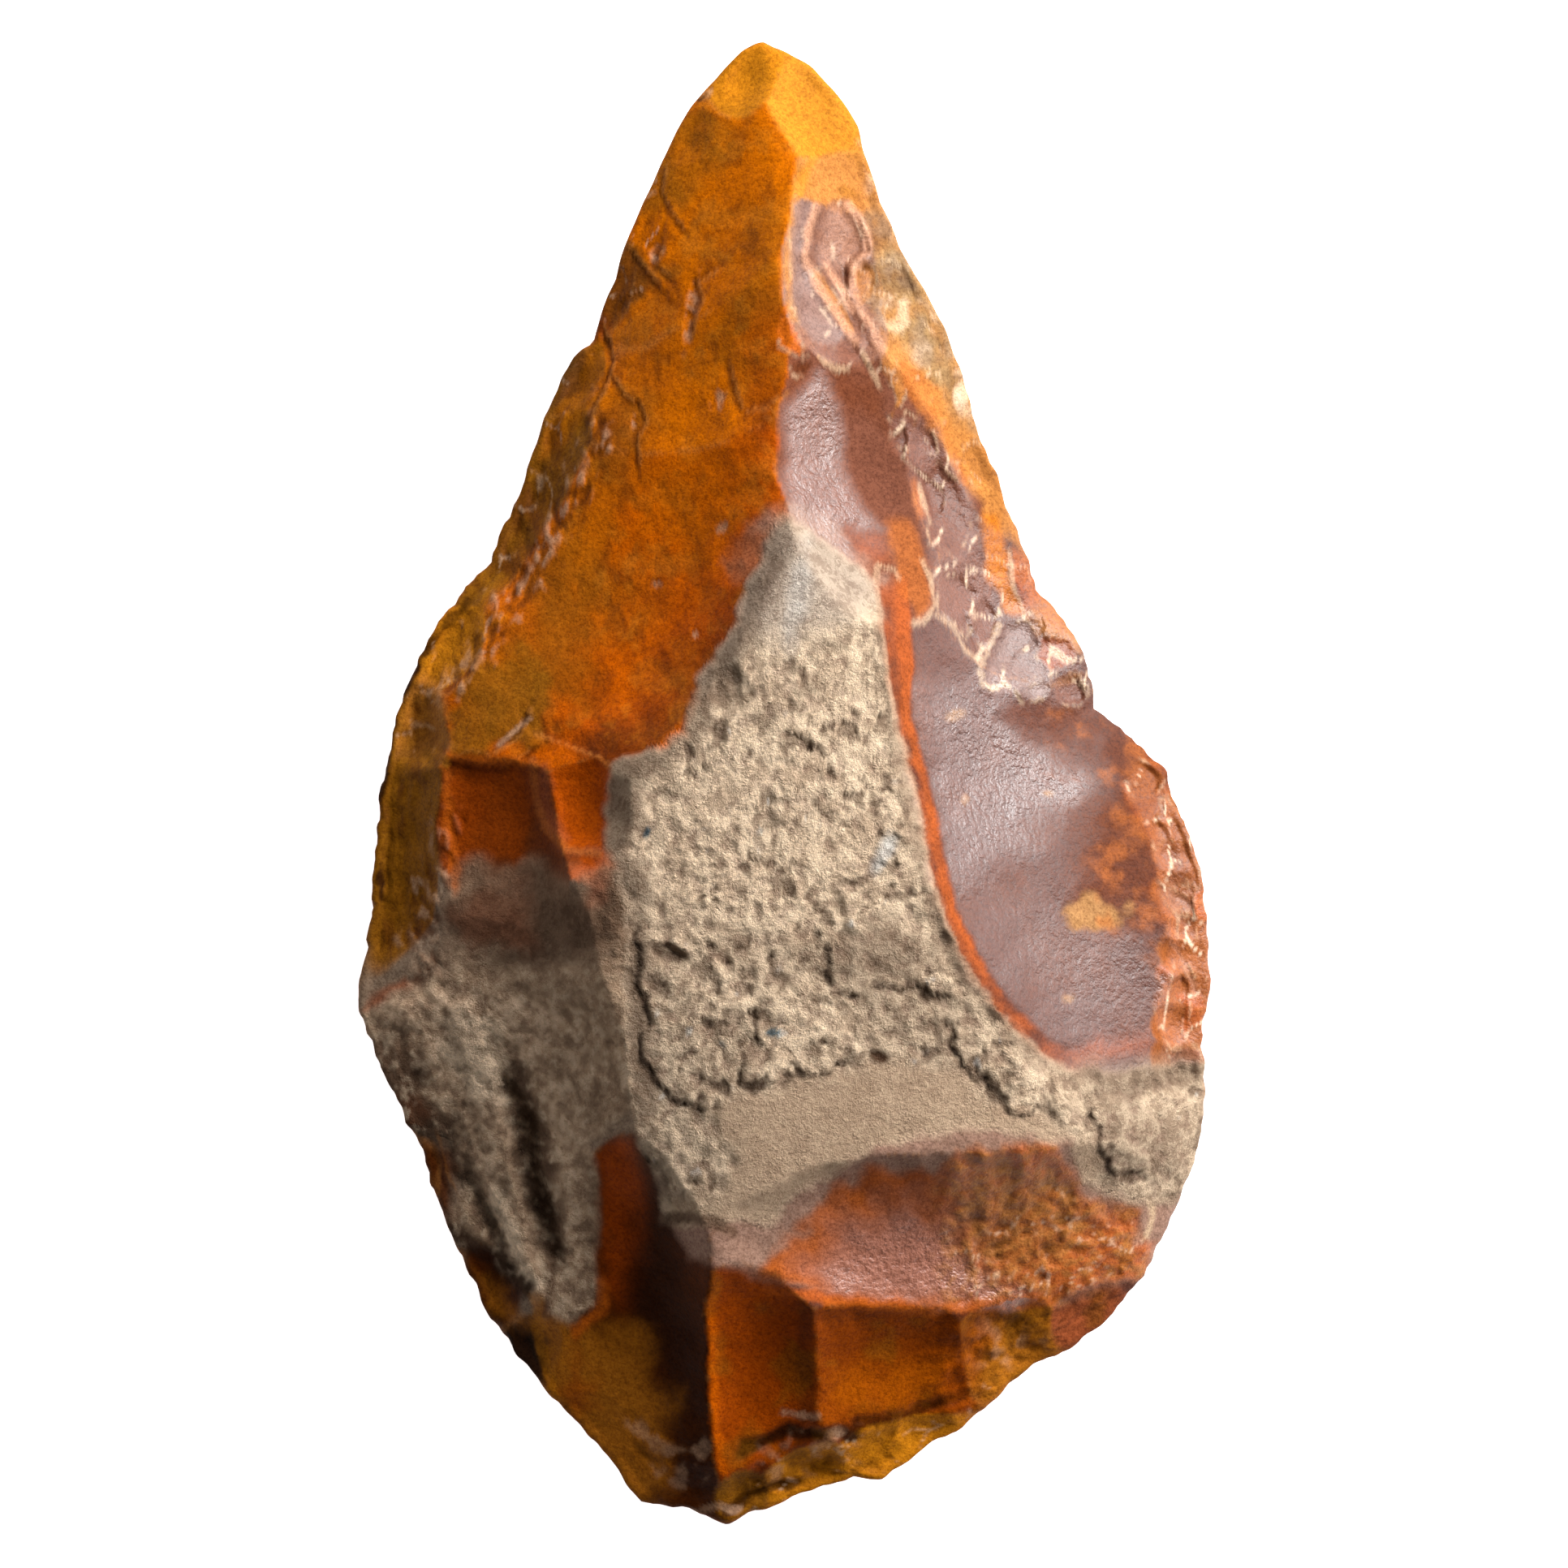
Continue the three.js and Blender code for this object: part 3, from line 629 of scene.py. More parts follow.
stain([
    (MUD_AND_SHADE, 0.85, 1.4, 0.8, [(-22.4, -4.6), (-9.6, -4.5), (-9.8, -11.0), (-16, -12.0), (-23, -11.4)]),
    (BRICK, 0.35, 1.0, 0.8, [(-20.5, -6.5), (-17.0, -6.0), (-16.6, -10.5), (-20.8, -11.0), (-22.4, -9.0)]),
    (RUST, 0.5, 0.7, 0.6, [(-13.2, -5.6), (-11.8, -5.6), (-11.9, -7.4), (-12.9, -8.0)]),
    # The sand and cream areas are painted light on the crests and on faces turned to the light.
    (LIT_SAND, 0.9, 0.7, 0.7, [
        (-28.4, -15.8), (-24.2, -14.4), (-22.4, -13.2), (-17, -13.8), (-15.2, -15.4), (-16.4, -19),
        (-17.2, -22), (-18.6, -24), (-21.5, -21.9), (-23.6, -19), (-24.2, -16.6), (-26.5, -16.4),
    ]),
    (CREAM, 0.85, 0.6, 0.8, [(-23.2, -15.6), (-19.6, -15.2), (-18.6, -18.0), (-18.0, -21.5),
                             (-20.6, -21.0), (-22.8, -18.4)]),
    (LIT_SAND, 0.8, 0.5, 0.5, [(-21.0, -23.8), (-19.0, -25.0), (-18.4, -27.4), (-17.2, -30.4), (-16.0, -34.6),
                           (-17.4, -33.6), (-20.4, -29.0)]),
    (CREAM, 0.9, 0.4, 0.4, [(-19.6, -26.8), (-18.8, -27.2), (-18.2, -29.2), (-16.4, -33.4),
                            (-17.2, -33.6), (-19.2, -29.6)]),
    (LIT_SAND, 0.45, 0.8, 0.6, [(-16.0, -19.0), (-13.6, -17.0), (-12.8, -21.0), (-13.2, -33.4),
                            (-14.6, -35.4), (-15.4, -30.0)]),
    # The mud areas and the umber patch are painted shade on the furrow's shaded wall and in the hollow at
    # the left.
    (MUD_AND_SHADE, 0.8, 0.6, 0.5, [(-18.4, -18.0), (-17.4, -18.4), (-15.4, -24.0), (-14.6, -31.0), (-15.6, -33.0),
                          (-16.8, -27.0)]),
    (MUD_AND_SHADE, 0.8, 0.5, 0.6, [
        (-28.4, -17.2), (-26.0, -17.6), (-25.2, -16.4), (-24.2, -18.4), (-24.2, -20.6), (-22.4, -22.4),
        (-22.2, -27.5), (-23.4, -23.8), (-26.8, -22.4),
    ]),
    (UMBER, 0.6, 0.4, 0.6, [(-26.4, -21.2), (-24.4, -21.0), (-23.4, -22.2), (-25.4, -23.0)]),
], flank)
FURROWS = [
    ([(-18.6, -18.4), (-17.8, -21.0), (-17.0, -23.8), (-16.3, -26.8), (-15.8, -29.2), (-15.3, -32.5)],
     1.4, 0.6),
    ([(-25.0, -16.8), (-25.2, -18.2), (-24.8, -19.8)], 1.3, 0.6),
    ([(-22.2, -21.6), (-21.6, -24.0), (-20.8, -27.0), (-19.2, -30.2), (-17.2, -33.2)], 0.7, 0.5),
    ([(-27.3, -18.0), (-26.6, -20.4)], 0.8, 0.4),
]
CRESTS = [
    ([(-19.4, -27.4), (-18.6, -29.4), (-16.9, -32.6), (-16.4, -34.2)], 0.7, 0.4),
    ([(-21.5, -15.5), (-20.6, -18.6), (-19.6, -21.6), (-18.6, -25.5)], 1.5, 0.6),
    ([(-27.0, -15.4), (-24.6, -15.2), (-23.4, -14.4)], 1.0, 0.3),
]
for line, width, deep in FURROWS:
    furrow = near(line, width, 0.5, 1.6) * flank
    relief -= 0.6 * deep * furrow
# Painted shade in the floors of the two furrows.
ragged_shade = ramp(-0.5, 0.2, rough_noise(x, y, 1.4, 102, 4, 0.7))
FURROW_FLOOR = [(-18.6, -19.6), (-18.0, -22.0), (-17.5, -24.4), (-16.7, -27.0), (-16.0, -29.4),
                (-15.5, -32.5)]
LOW_FURROW_FLOOR = [(-21.6, -24.0), (-20.8, -27.0), (-19.2, -30.2), (-17.2, -33.2)]
lay(NIGHT, 0.5 * flank * ragged_shade * near(FURROW_FLOOR, 1.0, 0.6, 1.6))
lay(NIGHT, 0.4 * flank * ragged_shade * near(LOW_FURROW_FLOOR, 0.8, 0.6, 1.6))
for line, width, tall in CRESTS:
    relief += tall * near(line, width, 0.25, 2.5)
# Painted shadow below the lower crest, and painted shade in the hollow at the flank's lower left.
lay(NIGHT, 0.85 * near([(-22.8, -30.0), (-20, -31.4), (-17.4, -33.6)], 1.1, 0.2))
lay(NIGHT, 0.6 * near([(-25.4, -23.1), (-22.6, -23.8), (-21.8, -26.4)], 0.8, 0.3))
grit_here = rough_noise(x, y, 0.95, 103, 3, 0.85)
low_flank = flank * ramp(-10, -15, y)
# Painted light on the raised grains of the lower flank and painted shade between them.
lay(CREAM, 0.4 * low_flank * ramp(0.1, 0.55, grit_here))
lay(MUD_AND_SHADE, 0.45 * low_flank * ramp(-0.05, -0.5, grit_here))
relief += flank * (0.22 * rough_noise(x, y, 1.8, 88) + 0.12 * grit_here)

# The dark scars of the lower left, and the butt.
butt_left = shows["butt_left"] * (1 - flank)
stain([
    (CINDER, 0.9, 0.5, 0.4, [(-16.5, -34.6), (-8, -20.0), (-5, -31), (-3.8, -50), (-14, -46)]),
    (MUD_AND_SHADE, 0.9, 0.8, 0.5, [(-14.2, -21), (-9, -19.5), (-6.5, -27), (-8.2, -27.4), (-10.6, -23.8),
                          (-13.4, -23.0)]),
    (EMBER, 1.0, 1.6, 0.9, [(-12.8, -22.8), (-10.4, -23.0), (-9.2, -26), (-9.4, -30), (-11, -34.5),
                            (-12.4, -34)]),
    # The two night areas are painted shade beside the ridge, on the side turned from the light.
    (NIGHT, 0.7, 0.9, 0.4, [(-10.4, -22.2), (-9.0, -21.8), (-7.8, -25.0), (-7.2, -29.8), (-8.4, -29.5),
                            (-9.0, -26.0)]),
    (NIGHT, 0.65, 1.1, 0.4, [(-9.0, -24.4), (-7.4, -26.0), (-6.6, -31), (-4.4, -40), (-4.2, -48),
                             (-7.4, -46), (-8.6, -38), (-10.6, -34), (-9.4, -30)]),
    (MOSS, 0.9, 1.4, 0.9, [(-16.5, -36), (-13, -36.2), (-9.6, -36.6), (-8.0, -41), (-7.8, -47),
                           (-10, -49), (-17, -41)]),
    (EMBER, 0.5, 1.0, 0.9, [(-16.4, -37.5), (-14.6, -37.0), (-12.8, -40.5), (-14.0, -43.5)]),
], butt_left)
# The night patches here are painted shade below the furrowed flank.
stain([
    (NIGHT, 0.6, 0.5, 0.5, [(-24.6, -24.2), (-22.6, -24.8), (-22.2, -27.0), (-23.0, -29.0)]),
    (CINDER, 0.8, 0.6, 0.5, [(-25.4, -24.0), (-22.4, -24.6), (-22.0, -27.0), (-23.0, -30.0)]),
    (NIGHT, 0.55, 0.6, 0.7, [(-20.8, -32.2), (-18.8, -32.8), (-17.4, -34.4), (-18.8, -36.0),
                             (-20.6, -34.0)]),
    (MOSS, 0.6, 0.6, 0.7, [(-21.6, -32.0), (-18.8, -33.8), (-17.0, -36.4), (-18.6, -37.4)]),
    (NIGHT, 0.6, 0.4, 0.4, [(-19.8, -35.4), (-17.2, -36.6), (-15.8, -41.0), (-18.8, -38.0)]),
    (MOSS, 0.9, 0.5, 0.5, [(-16.2, -35.9), (-14.2, -36.2), (-14.2, -40.0), (-15.6, -40.6)]),
])

# Seams in another tone, and dark cracks that are cut in as well: the dark in the cracks is painted shade,
# and so is the dark line cut along the left edge.
for over, strength, width, cut, line in (
    (ORANGE, 0.8, 0.7, 0, [(-12.2, -33.4), (-12.2, -35.0), (-13.8, -36.6)]),
    (OCHRE, 0.5, 0.6, 0, [(-16.6, -34.2), (-16.5, -37.0), (-15.4, -41.8)]),
    (DEEP_AMBER, 0.7, 0.45, 0, [(-4.8, -34.0), (-4.7, -38.0), (-4.6, -42.0), (-4.0, -46.0)]),
    (BARK, 0.5, 0.9, 0, [(1.6, -34.4), (1.4, -38.0), (1.5, -42.0)]),
    (NIGHT, 0.95, 0.7, 0.35, [(-3.0, -44.8), (-2.6, -44.4), (0.4, -43.2), (3.6, -43.3), (4.6, -43.8)]),
    (NIGHT, 0.8, 0.6, 0.35, [(5.0, -42.8), (8.0, -42.2), (12.0, -41.0)]),
    (NIGHT, 0.8, 0.5, 0.35, [(-4.0, -49.0), (-1.6, -47.4), (1.0, -47.0)]),
    (NIGHT, 0.6, 0.8, 0.35, [(-28.2, -2.0), (-27.4, 2.0), (-25.8, 6.4), (-24.2, 9.4)]),
    (FAWN, 0.6, 0.35, 0, [(0.0, -41.8), (2.0, -42.2)]),
    (FAWN, 0.5, 0.35, 0, [(-6.0, -49.0), (-4.4, -48.4), (-3.2, -48.8)]),
):
    drawn = near(line, width, 0.25, 1.2)
    lay(over, strength * drawn)
    relief -= cut * drawn
STEPS = [[(-10.4, -42), (-8.6, -43), (-7, -44.4), (-5.4, -42.6), (-5.2, -47), (-7.2, -47.6), (-9.2, -46)],
         [(1.8, -42.6), (5.0, -42.9), (4.4, -45.6), (-0.6, -46.6), (-2.2, -45.2)],
         [(12.2, -35.8), (14.6, -34.8), (17.6, -37.2), (14.6, -39.6), (12.2, -38.6)]]
for corners in STEPS:
    stepped = inside(corners, 0.6, 0.8)
    relief += 0.35 * stepped * rough_noise(x, y, 1.5, 81)
    lay(FAWN, 0.4 * stepped * ramp(0.1, 0.5, rough_noise(x, y, 1.3, 82)))
    lay(NIGHT, 0.45 * stepped * ramp(0.0, -0.4, rough_noise(x, y, 1.3, 82)))
butt = shows["butt_mid"] + shows["butt_right"] + shows["butt_far"] + shows["butt_end"]
dapple(butt, [(OLIVE, 0.4, 0.1, 0.7, 3, 89)])
stain([
    (SIENNA, 0.75, 1.0, 0.8, [(11.8, -34.6), (14.4, -34.4), (14.0, -37.2), (12.6, -40.8), (11.0, -41.0)]),
    (AMBER, 0.35, 1.2, 0.8, [(3.0, -39.8), (8.0, -38.6), (11.0, -38.4), (10.4, -41.6), (3.4, -42.0)]),
    (NIGHT, 0.6, 0.8, 0.7, [(10.8, -35.4), (13.0, -35.6), (12.2, -37.0)]),
])
butt_folds = rough_noise(1.5 * y - 0.6 * x, 0.7 * x + 0.5 * y, 2.0, 104, 4, 0.6) * butt * ramp(8, 12, x)
relief += 0.35 * butt_folds
lay(NIGHT, 0.6 * butt * ramp(8, 12, x) * ramp(0.08, 0.0, np.abs(butt_folds))
    * ramp(-0.1, 0.3, rough_noise(x, y, 3, 105)))

# Below the crust: the red dish, its glossy brown corner and its crumpled right.
DISH = [
    (-1.5, -32.0), (2.2, -28.6), (3.6, -26.8), (6, -25.6), (10, -25.4), (13, -24.0), (17, -24.1),
    (19.4, -25.8), (20, -28), (23.8, -28.8), (24.4, -33), (18, -35), (10, -35.4), (3, -34.4),
]
below = inside([(-7.8, -28.4), (-5, -24), (2, -22), (19, -21.5), (27, -27), (25, -33), (18, -34.6),
                (10, -34.9), (3, -33.8), (-3.4, -31.9), (-6.2, -31.2)], 0.5, 0.4)
lay(DUSK, below)
dish = below * inside(DISH, 0.8, 0.8)
corner = inside([(4.6, -30), (7.5, -28.4), (10, -29), (11, -31), (16, -34.5), (3, -34), (2.5, -32.5)],
                1.1, 0.9)
crumple = dish * ramp(9, 12, x)
lay(RED_ORANGE, dish)
lay(ORANGE_BROWN, 0.55 * dish)
dapple(crumple, [(OLIVE, 0.5, 0.15, 0.6, 2.2, 76), (HONEY, 0.6, -0.1, -0.6, 1.6, 77)])
lay(MAUVE_GREY, 0.6 * dish * inside([(0.8, -31), (4, -28), (9, -26.8), (13, -28.4), (13, -33),
                                     (16, -34.5), (2, -34)], 1.4, 1.2))
lay(MAUVE_GREY, 0.8 * dish * corner)
lay(HONEY, 0.45 * dish * inside([(11, -26), (18, -26), (21, -29.5), (17, -32.5), (12, -31)], 1.6, 1.0))
scaly = rough_noise(x, 1.4 * y, 1.0, 106, 3, 0.8)
lay(HONEY, 0.6 * crumple * ramp(-0.1, 0.4, scaly))
lay(UMBER, 0.3 * crumple * ramp(-0.15, -0.5, scaly))
relief += crumple * (0.3 * rough_noise(x, y, 1.6, 77) + 0.14 * scaly)
lay(VIVID, 0.7 * near([(-1.0, -33.4), (3.0, -34.0), (9, -34.9)], 0.5, 0.2))
lay(BUFF, 0.7 * near([(24.6, -27.9), (24.8, -29.0), (24.4, -30.4)], 0.35, 0.1))
lay(ORANGE, 0.7 * near([(3.0, -34.2), (10, -35.0), (14, -34.6), (18, -34.6)], 0.6, 0.3))

# The big right scar: a dark brown gloss, painted shade over its top and right, rust toward its right
# edge, a sandy fleck, and the pale lip and orange band along the crust.
right = shows["big_right"]
dapple(right, [(UMBER, 0.35, -0.1, 0.5, 5, 90)])
stain([
    # The umber area over the scar's top and right is painted shade.
    (UMBER, 0.4, 1.4, 1.2, [(15, 3.4), (17, 5.6), (22, 4.6), (26, 1.6), (28.5, -5), (28.5, -10),
                            (21, -9.4), (18.6, -6), (19, -1.4)]),
    (RUST, 0.5, 1.0, 0.8, [(24.0, 0.5), (25, 1.8), (28.5, -5), (27.6, -9.6), (25, -8.8), (25, -4),
                           (23.5, -1.4)]),
    (BRICK, 0.7, 0.9, 0.7, [(19, -17.6), (25, -16.6), (26, -17.6), (19, -18.8)]),
    (TAN, 0.75, 0.5, 0.9, [(18.2, -8.6), (19.6, -7.6), (22.8, -8.2), (22.6, -9.4), (19.4, -9.4)]),
], right)
rusted = right * inside([
    (14.5, 4.6), (17, 5.4), (20, 4.4), (24, 3.4), (26.4, 1), (28, -4), (28.4, -9), (25, -11.5), (22, -9.8),
    (18.0, -8.5), (20.5, -6), (21.2, -3), (22.2, -0.6), (18, 1.4),
], 1.0, 0.8)
lay(ORANGE_BROWN, 0.55 * rusted * ramp(-0.3, 0.7, rough_noise(x, y, 2.4, 100, 5, 0.75) + 0.12 * (x - 22)))
TAN_SPECKS = [
    (11.4, 4.6, 20, 0.7, 0.3), (17.6, -0.6, 0, 0.5, 0.3), (12.0, -1.0, 60, 0.4, 0.2),
    (18.8, -14.2, 0, 0.5, 0.3),
]
for px, py, turn, long, broad in TAN_SPECKS:
    lay(TAN, 0.45 * patch(px, py, turn, long, broad, 0.4, 0.5))
fleck = inside([(18.2, -8.6), (19.6, -7.6), (22.8, -8.2), (22.6, -9.4), (19.4, -9.4)], 0.4, 0.8) * right
relief += 0.15 * fleck * rough_noise(x, y, 0.9, 91)

# The upper right scar, and the flaked strips between it and the edge.
upper = shows["upper_right"]
stain([
    (UMBER, 0.5, 0.8, 0.6, [(0.2, 27.6), (6, 27), (7.5, 23), (5, 24.6), (1.5, 25.4), (0.4, 24.5)]),
    (BRICK, 0.7, 0.9, 0.9, [(3.8, 16.4), (6.6, 16.6), (7.4, 14.6), (6.0, 13.6), (4.6, 14.4)]),
], upper)
stain([
    (GREY_TAN, 0.85, 0.5, 0.6, [(6.4, 39.4), (7.7, 36.2), (10, 32.4), (11.6, 28.8), (13.2, 24),
                                (11.6, 24.2), (10.4, 25.4), (9.4, 28), (7.6, 30.2), (5.8, 31.4),
                                (6.0, 34.4), (6.6, 36.6)]),
    (HONEY, 0.7, 0.4, 0.5, [(6.5, 30.6), (8.4, 28.8), (10.2, 26.2), (11.6, 23.4), (12.6, 20.2),
                            (11.4, 20.6), (10.0, 23.6), (8.0, 26.2), (6.0, 29.0)]),
    (ORANGE_BROWN, 0.8, 0.3, 0.4, [(7.6, 28.6), (10.0, 26.4), (11.2, 23.6), (12.6, 20.0), (11.8, 19.8),
                                   (10.4, 23.0), (8.2, 25.6)]),
    (HONEY, 0.7, 0.5, 0.5, [(12, 23.4), (13.6, 23.0), (14.8, 20.2), (15.6, 17.6), (14.4, 18.4),
                            (12.6, 20.2)]),
    (COCOA, 1.0, 0.4, 0.4, [(8.6, 24.6), (10.6, 22.6), (12.4, 19.6), (13.6, 18.8), (13.0, 16.4),
                            (14.4, 12.6), (12, 10), (10.4, 11), (9.4, 15.4), (8.6, 19.6), (7.0, 22.8)]),
    (TAWNY, 0.9, 0.35, 0.3, [(13.3, 18.2), (14.6, 18.4), (14.9, 15.8), (15.2, 13.6), (16.6, 11.0),
                             (15.0, 11.6), (13.8, 13.6), (13.4, 15.6)]),
    (TOFFEE, 0.8, 0.4, 0.4, [(15.3, 15.8), (16.4, 15.0), (17.8, 12.8), (16.4, 11.8), (15.3, 13.6)]),
    (HONEY, 0.7, 0.4, 0.4, [(16.4, 11.6), (18.0, 12.8), (20.2, 9.8), (19.8, 8.8), (17.0, 10.0)]),
    (ORANGE_BROWN, 0.65, 0.4, 0.5, [(6.6, 17.4), (8.4, 17.6), (9.2, 15.4), (9.9, 12.4), (9.0, 10.9),
                                    (7.4, 12.8), (7.2, 14.6)]),
    (ORANGE_BROWN, 0.7, 0.3, 0.3, [(8.4, 20.2), (8.9, 20.4), (9.4, 17.8), (8.9, 17.4)]),
])
mottled = inside([(5.4, 43.6), (7.7, 36.2), (11.6, 28.8), (13.4, 23.6), (10.6, 24.4), (8.4, 29),
                  (5.6, 31.4), (5.9, 35)], 0.4, 0.3)
dapple(mottled, [
    (HONEY, 0.45, -0.3, 0.3, 3.4, 108), (CREAM, 0.3, 0.1, 0.5, 1.8, 92),
    (GREY, 0.5, -0.05, -0.5, 2.2, 93), (OLIVE, 0.3, 0.2, 0.6, 1.1, 94),
])
lay(CREAM, 0.8 * patch(11.9, 26.2, 70, 0.9, 0.5, 0.4, 0.4))
relief += 0.16 * mottled * rough_noise(x, y, 1.3, 95)
lay(OLIVE, 0.5 * shows["crescent_top"] * ramp(0.1, 0.5, rough_noise(x, y, 1.6, 96)))
LIP_TOP = [(3.8, 43.4), (2.3, 42.3), (1.4, 40.8), (0.9, 39.4), (0.4, 36), (0.3, 33), (0.7, 30.8)]
lay(YELLOW, 0.6 * near(LIP_TOP, 0.5, 0.15))

# Small flakes struck off the edges: angular facets with corners, depth and tone, each tilted its own
# way, with a bruised border.
CHIPS = [
    ([(0.6, 38.6), (1.2, 39.1), (2.0, 38.9), (2.1, 38.2), (1.6, 37.0), (1.4, 35.2), (2.2, 33.0),
      (3.2, 31.4), (4.2, 29.8), (3.4, 29.0), (1.8, 29.2), (0.9, 30.6), (0.4, 32.5),
      (0.35, 35.5)], 0.35, ASH_PINK),
    ([(2.1, 38.2), (3.2, 39.1), (4.3, 39.3), (5.2, 38.0), (5.9, 36.6), (5.9, 35.5), (5.0, 35.2),
      (4.5, 34.4), (4.4, 32.8), (3.6, 33.0), (2.6, 34.4), (1.5, 35.0), (1.6, 37.0)], 0.45, PINK),
    ([(4.6, 34.6), (5.4, 35.1), (6.2, 34.4), (6.2, 33.4), (5.6, 32.2), (5.0, 31.6), (4.6, 32.6)],
     0.35, HONEY),
    ([(1.5, 35.0), (2.6, 34.0), (3.6, 32.6), (4.4, 31.2), (4.9, 30.0), (4.2, 29.8), (3.2, 31.4),
      (2.2, 33.0)], -0.2, HONEY),
    ([(1.9, 29.2), (3.2, 29.4), (4.6, 30.0), (5.3, 28.6), (6.0, 27.4), (4.4, 27.6), (3.0, 27.9),
      (2.2, 28.4)], 0.3, COCOA),
    ([(-0.6, 30.0), (-0.3, 28.9), (0.6, 28.4), (1.5, 28.3), (1.0, 29.6), (0.3, 31.0), (-0.2, 30.9)],
     0.3, ORANGE),
    ([(0.4, 27.8), (1.6, 28.0), (2.0, 27.5), (1.2, 26.9), (0.5, 27.1)], 0.4, BARK),
    ([(12.3, 8.4), (12.7, 11.8), (13.5, 12.6), (14.6, 11.2), (13.6, 8.3)], 0.3, COCOA),
    ([(13.6, 8.0), (14.7, 10.6), (16.4, 11.0), (17.4, 9.4), (17.9, 7.2), (16.6, 6.6), (15.6, 6.1),
      (13.9, 6.1), (13.2, 6.8)], 0.45, ASH_PINK),
    ([(18.1, 7.2), (19.7, 7.5), (20.6, 6.4), (20.3, 5.4), (18.9, 5.1), (18.0, 6.0)], 0.45, COCOA),
    ([(17.2, 9.9), (19.3, 9.8), (19.9, 9.0), (19.3, 8.0), (17.8, 7.6), (16.9, 8.6)], 0.35, BRICK),
    ([(16.6, 7.2), (18.0, 7.0), (17.8, 5.8), (16.6, 5.5), (15.7, 6.2)], 0.35, ASH_PINK),
    ([(10.2, 13.8), (11.8, 14.0), (13.2, 12.8), (12.4, 11.6), (12.2, 9.6), (11.2, 10.6), (10.2, 11.2)],
     0.25, COCOA),
    ([(9.0, 20.2), (10.4, 21.6), (12.2, 19.6), (12.6, 17.0), (11.6, 15.2), (9.6, 16.2), (9.6, 18.0)],
     0.25, COCOA),
    ([(6.8, 22.6), (8.2, 24.8), (10.0, 23.6), (10.4, 22.0), (8.4, 22.3)], 0.3, COCOA),
    ([(7.0, 24.2), (7.5, 25.8), (6.8, 27.0), (7.8, 26.9), (8.2, 26.1), (8.0, 25.4)], -0.3, HONEY),
    ([(12.0, 22.6), (13.2, 23.3), (14.4, 21.6), (14.6, 20.2), (12.8, 20.0), (12.2, 21.0)], 0.3, HONEY),
    ([(23.0, -0.7), (23.6, 0.4), (23.2, 1.8), (24.6, 1.6), (25.9, 0.4), (25.0, -0.9)], 0.3, CLAY),
    ([(24.4, -2.6), (25.2, -2.1), (26.1, -3.2), (26.9, -5.4), (27.3, -6.9), (25.9, -6.8), (25.0, -5.0)],
     0.3, COCOA),
    ([(25.2, -1.0), (26.2, -2.8), (27.0, -5.2), (27.9, -7.4), (28.2, -6.4), (27.2, -3.0), (26.2, -0.8)],
     0.35, CLAY),
    ([(25.6, -7.0), (26.6, -7.2), (27.9, -7.8), (27.6, -8.6), (25.9, -8.5)], 0.3, DUSK),
    ([(26.4, -8.8), (27.8, -8.8), (27.8, -10.4), (26.5, -10.4)], 0.3, MAUVE),
    ([(25.8, -10.5), (26.6, -10.8), (27.9, -13.6), (27.4, -14.2), (26.9, -12.4)], 0.3, DUSK),
    ([(26.7, -12.4), (25.4, -13.4), (24.8, -14.8), (25.2, -16.4), (26.0, -18.0), (27.4, -16.8),
      (27.3, -14.8), (27.4, -13.4)], 0.45, CLAY),
    ([(25.8, -20.0), (25.9, -18.3), (27.2, -17.3), (28.2, -18.0), (28.2, -20.0)], 0.35, ASH_PINK),
    ([(-6.4, 45.8), (-5.4, 45.9), (-4.9, 46.8), (-5.6, 46.4)], 0.5, SOOT),
]
# A painted highlight on the middle lobes of the crescent scar.
stain([(PEACH_HIGHLIGHT, 0.7, 0.6, 0.7, [(2.6, 35.6), (3.4, 38.4), (4.8, 38.2), (5.4, 36.2), (4.2, 34.0),
                               (3.2, 34.4)])])
rims = np.zeros(x.shape)
for number, (corners, deep, tint) in enumerate(CHIPS):
    within = depth_in(corners) + 0.1 * rough_noise(x, y, 1.0, 79)
    chip = ramp(0, 0.5, within)
    middle = np.mean(corners, 0)
    tilt = 2.4 * number
    lean = np.clip((x - middle[0]) * math.cos(tilt) + (y - middle[1]) * math.sin(tilt), -2.5, 2.5)
    relief += chip * (0.16 * lean - deep)
    lay(tint, 0.75 * ramp(0, 0.2, within))
    rims = np.maximum(rims, 0.8 * ramp(0.16, 0.04, np.abs(within))
                      * ramp(0.0, 0.6, rough_noise(x, y, 1.6, 80)))

